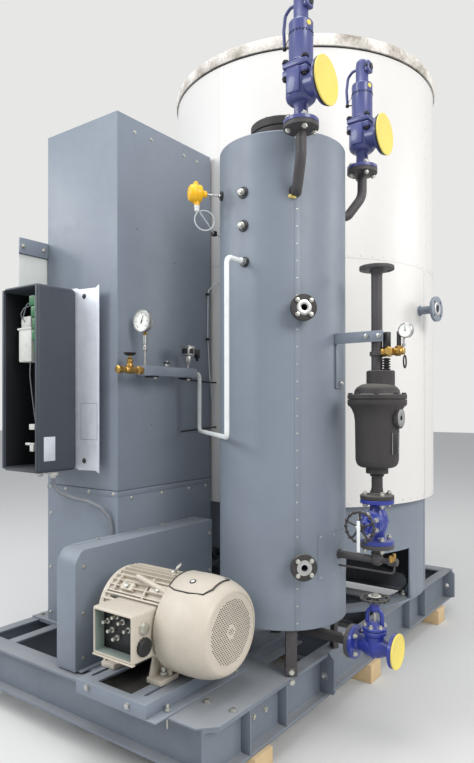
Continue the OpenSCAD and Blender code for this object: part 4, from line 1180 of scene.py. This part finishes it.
class BOILER_OT_valves(bpy.types.Operator):
    """The two globe valves, their handwheels and the black pipes between them"""

    bl_idname = "boiler.valves"
    bl_label = "Globe valves"

    def execute(self, context):
        # Globe valves and handwheels
        high, high_bright = globe((POT_X, ROW_Y, UPPER_VALVE_Z), UP, FRONT, 193, 176)
        low, low_bright = globe((LOWER_VALVE_X, ROW_Y, DRAIN_Z), RIGHT, UP, 200, 209, (-1,))
        finish_piece("upper_globe_valve", high, "deep blue paint", ("upper_valve",))
        finish_piece("lower_globe_valve", low, "deep blue paint", ("lower_valve",))
        finish_piece("globe_valve_bolts", high_bright + low_bright, "zinc bolts")
        finish_piece("upper_wheel_rim", wheel((POT_X, -808, UPPER_VALVE_Z), FRONT, 142), "black cast iron",
                     ("upper_handwheel",), "upper_wheel")
        finish_piece("lower_wheel_rim", wheel((LOWER_VALVE_X, ROW_Y, 652), UP, 135), "black cast iron",
                     ("lower_handwheel",), "lower_wheel")
        tag = [block((1101, -834.5, 894), (1115, -833, 1022), 0.4)]
        finish_piece("valve_tag", tag, "white pipe coat")
        finish_piece("lower_wheel_label", [ring(56, 30, 1.6, (LOWER_VALVE_X, ROW_Y, 661.6), sides=40)],
                     "pale parts", body="lower_wheel")
        # Tee under the upper valve, thin side pipe and the pipe to the lower valve
        pipes = [tube([(917.5, ROW_Y, TEE_Z), (1095, ROW_Y, TEE_Z)], 34, 7),
                 ball(56, (POT_X, ROW_Y, 824), sides=32), disc(48, 60, (POT_X, ROW_Y, TEE_Z), sides=32),
                 hoop(48, 7, (POT_X, ROW_Y, 850), minor=8),
                 turned([(26, 868), (34, 875), (71, 876), (73, 878), (73, 892), (71, 894)],
                        (POT_X, ROW_Y, 0), sides=56),
                 ring(46, 33, 6, (917, ROW_Y, TEE_Z), RIGHT, edge=2),
                 disc(22, 46, (1118, ROW_Y, TEE_Z), RIGHT, 20),
                 turned([(12, 1150), (18, 1154), (18, 1192), (13, 1196)], (0, ROW_Y, TEE_Z), RIGHT, 6),
                 tube([(1180, ROW_Y, 812), (1180, ROW_Y, 772), (917.4, ROW_Y, 772)], 9, 4, 20),
                 tube([(617, ROW_Y, 515), (617, ROW_Y, DRAIN_Z), (976, ROW_Y, DRAIN_Z)], 48, 7, 40),
                 turned([(26, 960), (34, 970), (71, 972), (73, 974), (73, 988), (71, 990)],
                        (0, ROW_Y, DRAIN_Z), RIGHT, 56),
                 hoop(48, 7, (700, ROW_Y, DRAIN_Z), RIGHT, minor=8)]
        finish_piece("drain_lines", pipes, "black pipe", ("drain_pipes",))
        cock = [disc(20, 24, (1180, -640, 836), FRONT, 6, 1.5), disc(14, 26, (1180, ROW_Y, 832), sides=6),
                block((1174, -676, 828), (1186, -664, 858), 3)]
        finish_piece("drain_cock", cock, "brass")
        return {"FINISHED"}


def about(angle):
    """The direction away from the motor axis, angle degrees from the top towards the front."""
    return Vector((0, -math.sin(math.radians(angle)), math.cos(math.radians(angle))))


def about_shaft(obj, angle):
    """Swings a piece made on top of the motor axis down towards the front."""
    obj = merge([obj])
    obj.data.transform(Matrix.Translation(Vector((0, MOTOR_Y, MOTOR_Z)) * MM)
                       @ Matrix.Rotation(math.radians(angle), 4, "X"))
    return obj


class BOILER_OT_motor(bpy.types.Operator):
    """Ribbed motor with cowl, terminal box and slide base"""

    bl_idname = "boiler.motor"
    bl_label = "Motor"

    def execute(self, context):
        paint = "motor paint"
        axle = Vector((0, MOTOR_Y, MOTOR_Z))
        count = context.scene.boiler_look.rib_count
        # Spans in degrees that have no ribs: the front with its strips, and the underside
        bare = ((54, 122), (140, 220))

        def on_frame(x, angle, r):
            """A point on the motor, angle degrees from the top towards the front."""
            return axle + Vector((x, 0, 0)) + about(angle) * r

        # Round body with its ribs
        body = [turned([(40, 96), (62, 98), (66, 112), (140, 116), (168, 128), (177, 134), (178, 158),
                        (172, 160), (172, 500)], axle, RIGHT, 96)]
        for i in range(count):
            angle = 360 / count * (i + 0.5)
            if any(low < angle < high for low, high in bare):
                continue
            body.append(about_shaft(prism([(160, 168), (160, 184), (166, 188), (488, 188), (488, 168)], 3.6,
                                          (0, 1.8, 0), (RIGHT, UP, FRONT)), angle))
        # Pad and strips along the body, cross bars, and the raised duct with its boss
        for angle, x0, x1, half, r in ((44, 236, 304, 17, 193), (57, 152, 488, 4, 188),
                                       (64.5, 152, 488, 5, 188), (72, 152, 488, 6, 188),
                                       (80, 152, 488, 14, 187), (126, 152, 488, 15, 188)):
            body.append(about_shaft(block((x0, -half, 168), (x1, half, r), 2), angle))
        for x, angles in ((198, (30, 38, 46)), (374, (28, 36, 44, 52)), (430, (-20, -12, -4, 4))):
            body += [about_shaft(block((x - 4, -15, 168), (x + 4, 15, 188.5), 1), a) for a in angles]
        body.append(tube([on_frame(x, a, r) for x, a, r in ((300, 30, 192), (304, 31, 208), (360, 34, 205),
                                                            (452, 39, 202), (486, 41, 184))], 22, 6, 20))
        body.append(about_shaft(block((392, -22, 168), (488, 22, 194), 8, 2), 39))
        # Feet
        for x in (142, 414):
            for s in (-1, 1):
                y = MOTOR_Y + s * 111
                web = [(y - 20 * s, 390), (y + 48 * s, 390), (y + 30 * s, 450), (y + 20 * s, 520),
                       (y - 30 * s, 470)]
                body += [block((x, y - 56, 367), (x + 80, y + 56, 391), 5, 2),
                         prism(web, 14, (x + 4, 0, 0), (BACK, UP, RIGHT), 2),
                         block((x + 6, y - 16 * s - 8, 388), (x + 74, y - 16 * s + 8, 450), 3)]
        finish_piece("motor_frame", body, paint, ("motor_body",))
        lines = [about_shaft(block((200, -3, 170), (488, 3, 188.6)), 61),
                 about_shaft(block((431, -3.5, 170), (488, 3.5, 188.6)), 68)]
        finish_piece("motor_slots", lines, "dark parts")
        finish_piece("motor_shaft", [turned([(27, 2), (27.5, 4), (27.5, 110)], axle, RIGHT, 40)],
                     "bright steel")
        # Lifting eye and bolts
        tilt = Vector((0.52, 0.38, 0.77))
        eye = [hoop(38, 10, Vector((420, MOTOR_Y, 784)) + tilt * 22, (-0.62, -0.45, 0.645), 32, 10),
               turned([(14, -6), (14, 4), (7, 8)], (420, MOTOR_Y, 780), tilt, 20)]
        bolts = copies(hex_bolt(13),
                       [(on_frame(272, 44, 193), about(44)), (on_frame(446, 40, 194), about(40))])
        bolts += copies(stud(18, 2.0),
                        [((x + 48, MOTOR_Y + s * 116, 391), UP) for x in (142, 414) for s in (-1, 1)])
        finish_piece("motor_bolts", eye + bolts, "zinc bolts")

        # Fan cowl with its grille
        cowl = turned([(188, 486), (203, 487), (205, 490), (205, 580), (203.6, 612), (200, 644), (193, 673),
                       (184, 697), (174, 714), (167, 721), (162, 724), (157, 725)], axle, RIGHT, 120)
        drill(cowl, [turned([(154, 700), (154, 740)], axle, RIGHT, 72)])
        grille = disc(312, 3, axle + Vector((719, 0, 0)), RIGHT, 96)
        slots = []
        pitch, row, reach, hub, boss = 12.6, 8.2, 128, 14, 26
        for j in range(-17, 18):
            for i in range(-11, 12):
                y, z = (i + 0.5 * (j % 2)) * pitch, j * row
                if y * y + z * z < reach ** 2 and not hub ** 2 < y * y + z * z < boss ** 2:
                    slots.append((axle + Vector((714, y, z)), RIGHT))
        drill(grille, copies(block((-4.4, -2.4, 0), (4.4, 2.4, 12)), slots))
        finish_piece("cowl_shell", [cowl], paint, ("fan_cowl",), smooth=40)
        finish_piece("cowl_grille", [grille], paint)
        finish_piece("cowl_inside", [disc(300, 6, axle + Vector((702, 0, 0)), RIGHT, 48)], "dark parts")
        # Seam of the hatch, which bows in where the cowl narrows, and its stud
        corners = [(492, 34), (487, 20), (487, -14), (676, -14), (684, 22), (664, 33), (600, 37), (530, 37),
                   (492, 34)]
        seam = []
        for (xa, aa), (xb, ab) in zip(corners, corners[1:]):
            steps = max(1, int(abs(ab - aa) / 4))
            for k in range(steps):
                x = xa + (xb - xa) * k / steps
                bow = max(0, x - 600) * 0.13
                seam.append(on_frame(x, aa + (ab - aa) * k / steps, 204.5 - bow))
        finish_piece("hatch_seam", [tube(seam, 7, 3, closed=True)], "black rubber")
        foot, up = on_frame(580, 19.7, 204), about(19.7)
        finish_piece("hatch_stud", [ring(27, 17, 4, foot, up, 32, 1)], "black rubber")
        finish_piece("hatch_stud_head", [disc(17, 4, foot, up, 24, 1)], "white pipe coat")

        # Open terminal box with its lining, pins and knob
        outer = block((242, -1485, 491), (472, -1329, 683), 9, 3)
        drill(outer, [block((253, -1490, 502), (461, -1378, 672), 5, 2)])
        neck = [block((262, -1376, 505), (448, -1310, 670), 14, 3),
                block((242, -1487, 486), (472, -1470, 493), 2)]
        finish_piece("box_shell", [outer, *neck], paint, ("terminal_box",))
        finish_piece("box_lining", [block((254, -1434, 504), (460, -1427, 671), 1),
                                    block((455, -1474, 512), (461.5, -1426, 664), 1),
                                    block((280, -1442, 536), (452, -1433, 668), 3)], "dark parts")
        finish_piece("box_inner_coat", [block((252.6, -1480, 503), (254.6, -1426, 671)),
                                        block((254, -1480, 501.6), (460, -1426, 503.6))], "green-grey coat")
        pins = copies(stud(14, 2.7),
                      [((x, -1441, z), FRONT) for x, z in ((295, 622), (321, 591), (351, 565), (347, 650),
                                                           (382, 634), (414, 608))])
        pins += [disc(54, 10, (470, -1428, 622), RIGHT, 6, 2),
                 disc(45, 18, (470, -1428, 622), RIGHT, 24, 2),
                 tube([(262, -1450, 498), (452, -1450, 498)], 5, 3)]
        finish_piece("box_pins", pins, "zinc bolts")
        knob = [turned([(30, 0), (35, 2), (35, 15), (28, 20)], (470, -1428, 549), RIGHT, 32)]
        knob += copies(block((-2, 33, 2), (2, 37, 15), 0.5),
                       [((470, -1428, 549), RIGHT, a) for a in range(0, 360, 24)])
        finish_piece("box_knob", knob, "black rubber")

        # Slide base: a slotted plate on a folded frame
        top = block((157, -1488, 359), (543, -902, 366.6))
        cut = [block((244, -1458, 350), (438, -938, 380), 3)]
        for x in (176, 482):
            for y in (-1440, -1080):
                cut.append(prism([(x, y + 8), (x + 4, y + 2), (x + 8, y), (x + 12, y + 2), (x + 16, y + 8),
                                  (x + 16, y + 112), (x + 12, y + 118), (x + 8, y + 120), (x + 4, y + 118),
                                  (x, y + 112)], 30, (0, 0, 350), (RIGHT, BACK, UP)))
        drill(top, cut)
        rails = block((150, -1495, 308.5), (550, -895, 367), 2, 2)
        drill(rails, [block((158, -1487, 300), (542, -903, 375))])
        base = [top, rails, block((549, -1494, 308.5), (600, -896, 314), 1)]
        finish_piece("slide_base", base, "blue-grey paint", ("motor_base",))
        finish_piece("slide_shadow_plate", [block((165, -1480, 309), (535, -910, 311))], "dark parts")
        spots = [((455, -1495, 340), FRONT), ((222, -1495, 350), FRONT)]
        finish_piece("slide_screws", copies(hex_bolt(13), spots), "bright steel")
        finish_piece("slide_bolts", copies(stud(14, 2.2), [((575, y, 314), UP) for y in (-1400, -954)])
                     + [disc(8, 60, (575, -1400, 250), sides=12)], "zinc bolts")
        return {"FINISHED"}


class BOILER_OT_drive(bpy.types.Operator):
    """Drive housing on its zinc plate, the boards inside and its cable"""

    bl_idname = "boiler.drive"
    bl_label = "Drive"

    def execute(self, context):
        # Housing, open at the front, with its rounded rim
        shell = drill(block((-673, -1298, 1157), (-384, -1053, 2100), 20, 5),
                      [block((-661, -1330, 1169), (-396, -1064, 2088), 14, 4)])
        rim = []
        for low, high in (((-673, -1298, 1157), (-660, -1290, 2100)),
                          ((-397, -1298, 1157), (-384, -1290, 2100))):
            rim.append(block(Vector(low) + Vector((0, -1.5, 12)), Vector(high) - lift(12), 3, 2))
        finish_piece("drive_shell", [shell, *rim], "dark fine-textured coat", ("drive_housing",))
        # What the housing holds
        inner = [block((-662, -1074, 1168), (-395, -1063, 2089), 1),
                 block((-663, -1284, 1172), (-660, -1072, 2085)),
                 block((-600, -1150, 1190), (-420, -1072, 1420), 3),
                 block((-640, -1140, 1440), (-500, -1072, 2060), 4)]
        finish_piece("drive_inside", inner, "dark parts", ("drive_boards",))
        board = [block((-452, -1262, 1760), (-444, -1084, 2040), 0.5)]
        board += [block((x, -1262, z), (-451, -1228, z + 50), 2)
                  for x, z in ((-474, 1826), (-470, 1884), (-482, 1944), (-496, 2000))]
        finish_piece("drive_board", board, "green board")
        pale = [block((-584, -1262, 1716), (-478, -1196, 1884), 6, 2),
                block((-592, -1266, 1880), (-474, -1192, 1890), 3),
                block((-580, -1250, 1890), (-500, -1204, 1950), 5, 2),
                block((-496, -1262, 1372), (-452, -1230, 1400), 2),
                block((-528, -1262, 1293), (-458, -1246, 1305), 2),
                block((-492, -1262, 1262), (-462, -1240, 1300), 3)]
        finish_piece("drive_pale_parts", pale, "pale parts")
        wires = [tube([(-570, -1230, 1888), (-572, -1258, 1960), (-540, -1262, 1990), (-470, -1240, 2010)],
                      5, 3, 20),
                 tube([(-556, -1226, 1888), (-548, -1262, 1940), (-520, -1258, 2010), (-470, -1230, 2030)],
                      5, 3, 20),
                 tube([(-500, -1250, 1720), (-494, -1258, 1650), (-490, -1250, 1560), (-470, -1240, 1400)],
                      6, 3, 20)]
        finish_piece("drive_wires", wires, "grey cable sheath")
        # Zinc plate on its four spacers
        outline = [(-690, 1166), (-384, 1166), (-368, 1158), (-238, 1162), (-212, 1150), (-212, 2108),
                   (-236, 2094), (-366, 2098), (-384, 2106), (-690, 2100)]
        sheet = [prism(outline, 4, (0, -1053, 0), (RIGHT, UP, BACK), 0.6)]
        sheet += [block((x, -1050, z), (x + 50, -1003, z + 60), 2) for x in (-650, -360)
                  for z in (1217, 1980)]
        finish_piece("drive_sheet", sheet, "zinc sheet", ("drive_plate",))
        grooves = [block((x0, -1053.6, z0), (x1, -1052.5, z1))
                   for x0, x1, z0, z1 in ((-350, -348, 1318, 1506), (-226, -224, 1318, 1506),
                                          (-350, -224, 1318, 1320), (-350, -224, 1504, 1506))]
        finish_piece("drive_sheet_lines", grooves, "grey cable sheath")
        finish_piece("drive_label", [block((-384.2, -1256, 1216), (-383.2, -1188, 1337), 0.3)],
                     "zinc sheet")
        finish_piece("drive_screws",
                     copies(pan_screw(22), [((-323, -1053, z), FRONT) for z in (2058, 1208)]), "dark bolts")
        # Glands, and the cable to the lower casing
        glands = [turned([(22, 0), (26, 2), (26, 18), (21, 22), (16, 26), (12, 34)], (x, -1163, 1157), DOWN,
                         24) for x in (-543, -433)]
        glands.append(turned([(15, 0), (19, 2), (19, 12), (12, 17)], (-488, -1163, 1157), DOWN, 24))
        finish_piece("drive_glands", glands, "pale parts")
        path = [(-433, -1163, 1130), (-433, -1163, 1105), (-411, -1153, 1053), (-358, -1103, 1019),
                (-270, -1072, 1004), (-205, -1042, 974), (-172, -1022, 926), (-160, -1014, 866),
                (-160, -1014, 660)]
        finish_piece("drive_lead", [tube(path, 20, 6, 60)], "grey cable sheath", ("drive_cable",))
        clips = [block((-176, -1026, z), (-144, -1003, z + 16), 3) for z in (800, 650)]
        finish_piece("drive_lead_clips", clips, "black rubber")
        return {"FINISHED"}


class BOILER_OT_skid(bpy.types.Operator):
    """Rolled beams, stiffeners, lugs, deck plate and timbers"""

    bl_idname = "boiler.skid"
    bl_label = "Skid"

    def execute(self, context):
        paint, along = "darker grey paint", (RIGHT, UP, BACK)
        # Side beams, drawn by how far out from the web and how high, one end cut at a slant
        profile = [(-15, 100), (50, 100), (50, 109), (47, 112), (14, 112), (7, 115), (4, 122), (4, 278),
                   (7, 285), (14, 288), (47, 288), (50, 291), (50, 300), (-15, 300), (-15, 288), (-8, 288),
                   (-4, 284), (-4, 116), (-8, 112), (-15, 112)]
        beams = [prism([(750 + u, v) for u, v in profile], 2810, (0, -1405, 0), along, 0.8),
                 prism([(-750 - u, v) for u, v in profile], 2810, (0, -1405, 0), along, 0.8)]
        drill(beams[0],
              [prism([(754, -1406.5), (860, -1406.5), (860, -1300.5)], 260, (0, 0, 70), (RIGHT, BACK, UP))])
        finish_piece("skid_side_beams", beams, paint, ("side_beams",))
        cross = []
        for y in (-1355, -975, -190, 480, 1355):
            cross += [block((-735, y - 50, 100), (735, y + 50, 112), 1.2),
                      block((-735, y - 50, 288), (735, y + 50, 300), 1.2),
                      block((-746, y - 4, 111), (746, y + 4, 289))]
        finish_piece("skid_cross_beams", cross, paint, ("cross_beams",))
        rails = [block((-606, -1305, 288), (-546, -1025, 300), 1.2),
                 block((-580, -1351, 112), (-572, -979, 289)),
                 block((397, -925, 200), (497, -240, 212), 1.2),
                 block((397, -925, 288), (497, -240, 300), 1.2), block((443, -971, 211), (451, -194, 289))]
        finish_piece("skid_rails", rails, paint, ("inner_rails",))
        webs = [block((s * 777 - 23, y, 112), (s * 777 + 23, y + 10, 288), 1) for s in (-1, 1)
                for y in (-1166, -892, 25, 552, 825)]
        finish_piece("skid_stiffeners", webs, paint, ("beam_stiffeners",))
        lugs = []
        for s in (-1, 1):
            for y in (-495, 1355):
                shape = [(s * x, z) for x, z in ((754, 112), (826, 112), (830, 116), (830, 278), (801, 312),
                                                 (800, 288), (754, 288))]
                lug = prism(shape, 20, (0, y, 0), (RIGHT, UP, FRONT), 1)
                lugs.append(drill(lug, [disc(26, 60, (s * 780, y + 20, 192), FRONT, 28)]))
        finish_piece("skid_lugs", lugs, paint, ("lifting_lugs",))
        eyes = [ring(33, 26, 22, (s * 780, y + 1, 192), FRONT, 32, 0.8) for s in (-1, 1)
                for y in (-495, 1355)]
        finish_piece("lug_eye_rings", eyes, "zinc bolts")
        # Deck plate with one cut corner and two cut-outs
        shape = [(100, -1425), (735, -1425), (800, -1360), (800, -205), (-800, -205), (-800, -1025),
                 (100, -1025)]
        deck = prism(shape, 8, (0, 0, 300), (RIGHT, BACK, UP), 1)
        drill(deck,
              [block((130, -1300, 290), (560, -1045, 320)), block((497, -785, 290), (735, -240, 320))])
        finish_piece("skid_deck", [deck], paint, ("deck_plate",))
        spots = [((x, y, 308), UP) for x, y in ((-770, -980), (-770, -620), (-770, -250), (770, -1240),
                                                (150, -1340), (640, -1240))]
        heads = copies(hex_bolt(14), spots)
        heads += copies(hex_bolt(13), [((754, -993, 215), RIGHT), ((754, -1081, 219), RIGHT)])
        heads += copies(hex_bolt(13), [(spun_place(VESSEL, -50, (290, 0, 291)), ray(-50))])
        finish_piece("skid_bolts", heads, "zinc bolts")
        wood = []
        for y in (-1095, 0, 1095):
            wood.append(block((-820, y - 65, 0), (820, y + 65, 100), 5, 2))
        finish_piece("skid_timbers", wood, "sawn timber", ("support_timbers",))
        return {"FINISHED"}


STEPS = [BOILER_OT_materials, BOILER_OT_shell, BOILER_OT_skirt, BOILER_OT_casing, BOILER_OT_separator,
         BOILER_OT_relief, BOILER_OT_instruments, BOILER_OT_pot, BOILER_OT_valves, BOILER_OT_motor,
         BOILER_OT_drive, BOILER_OT_skid, BOILER_OT_stage]


class BOILER_PT_pieces(bpy.types.Panel):
    """Lists the steps that build the finished package"""

    bl_label = "Steam boiler package"
    bl_idname = "BOILER_PT_pieces"
    bl_space_type = "VIEW_3D"
    bl_region_type = "UI"
    bl_category = "Boiler"

    def draw(self, context):
        look_of = context.scene.boiler_look
        for name in BoilerLook.__annotations__:
            self.layout.prop(look_of, name)
        for step in STEPS:
            self.layout.operator(step.bl_idname)


def register():
    """Makes the settings, the steps and the panel known to Blender."""
    for cls in (BoilerLook, *STEPS, BOILER_PT_pieces):
        bpy.utils.register_class(cls)
    bpy.types.Scene.boiler_look = bpy.props.PointerProperty(type=BoilerLook)


def unregister():
    """Takes the settings, the steps and the panel away again."""
    del bpy.types.Scene.boiler_look
    for cls in (BOILER_PT_pieces, *reversed(STEPS), BoilerLook):
        bpy.utils.unregister_class(cls)


def main():
    """Runs every step in order."""
    register()
    for step in STEPS:
        group, name = step.bl_idname.split(".")
        getattr(getattr(bpy.ops, group), name)()


if __name__ == "__main__":
    main()
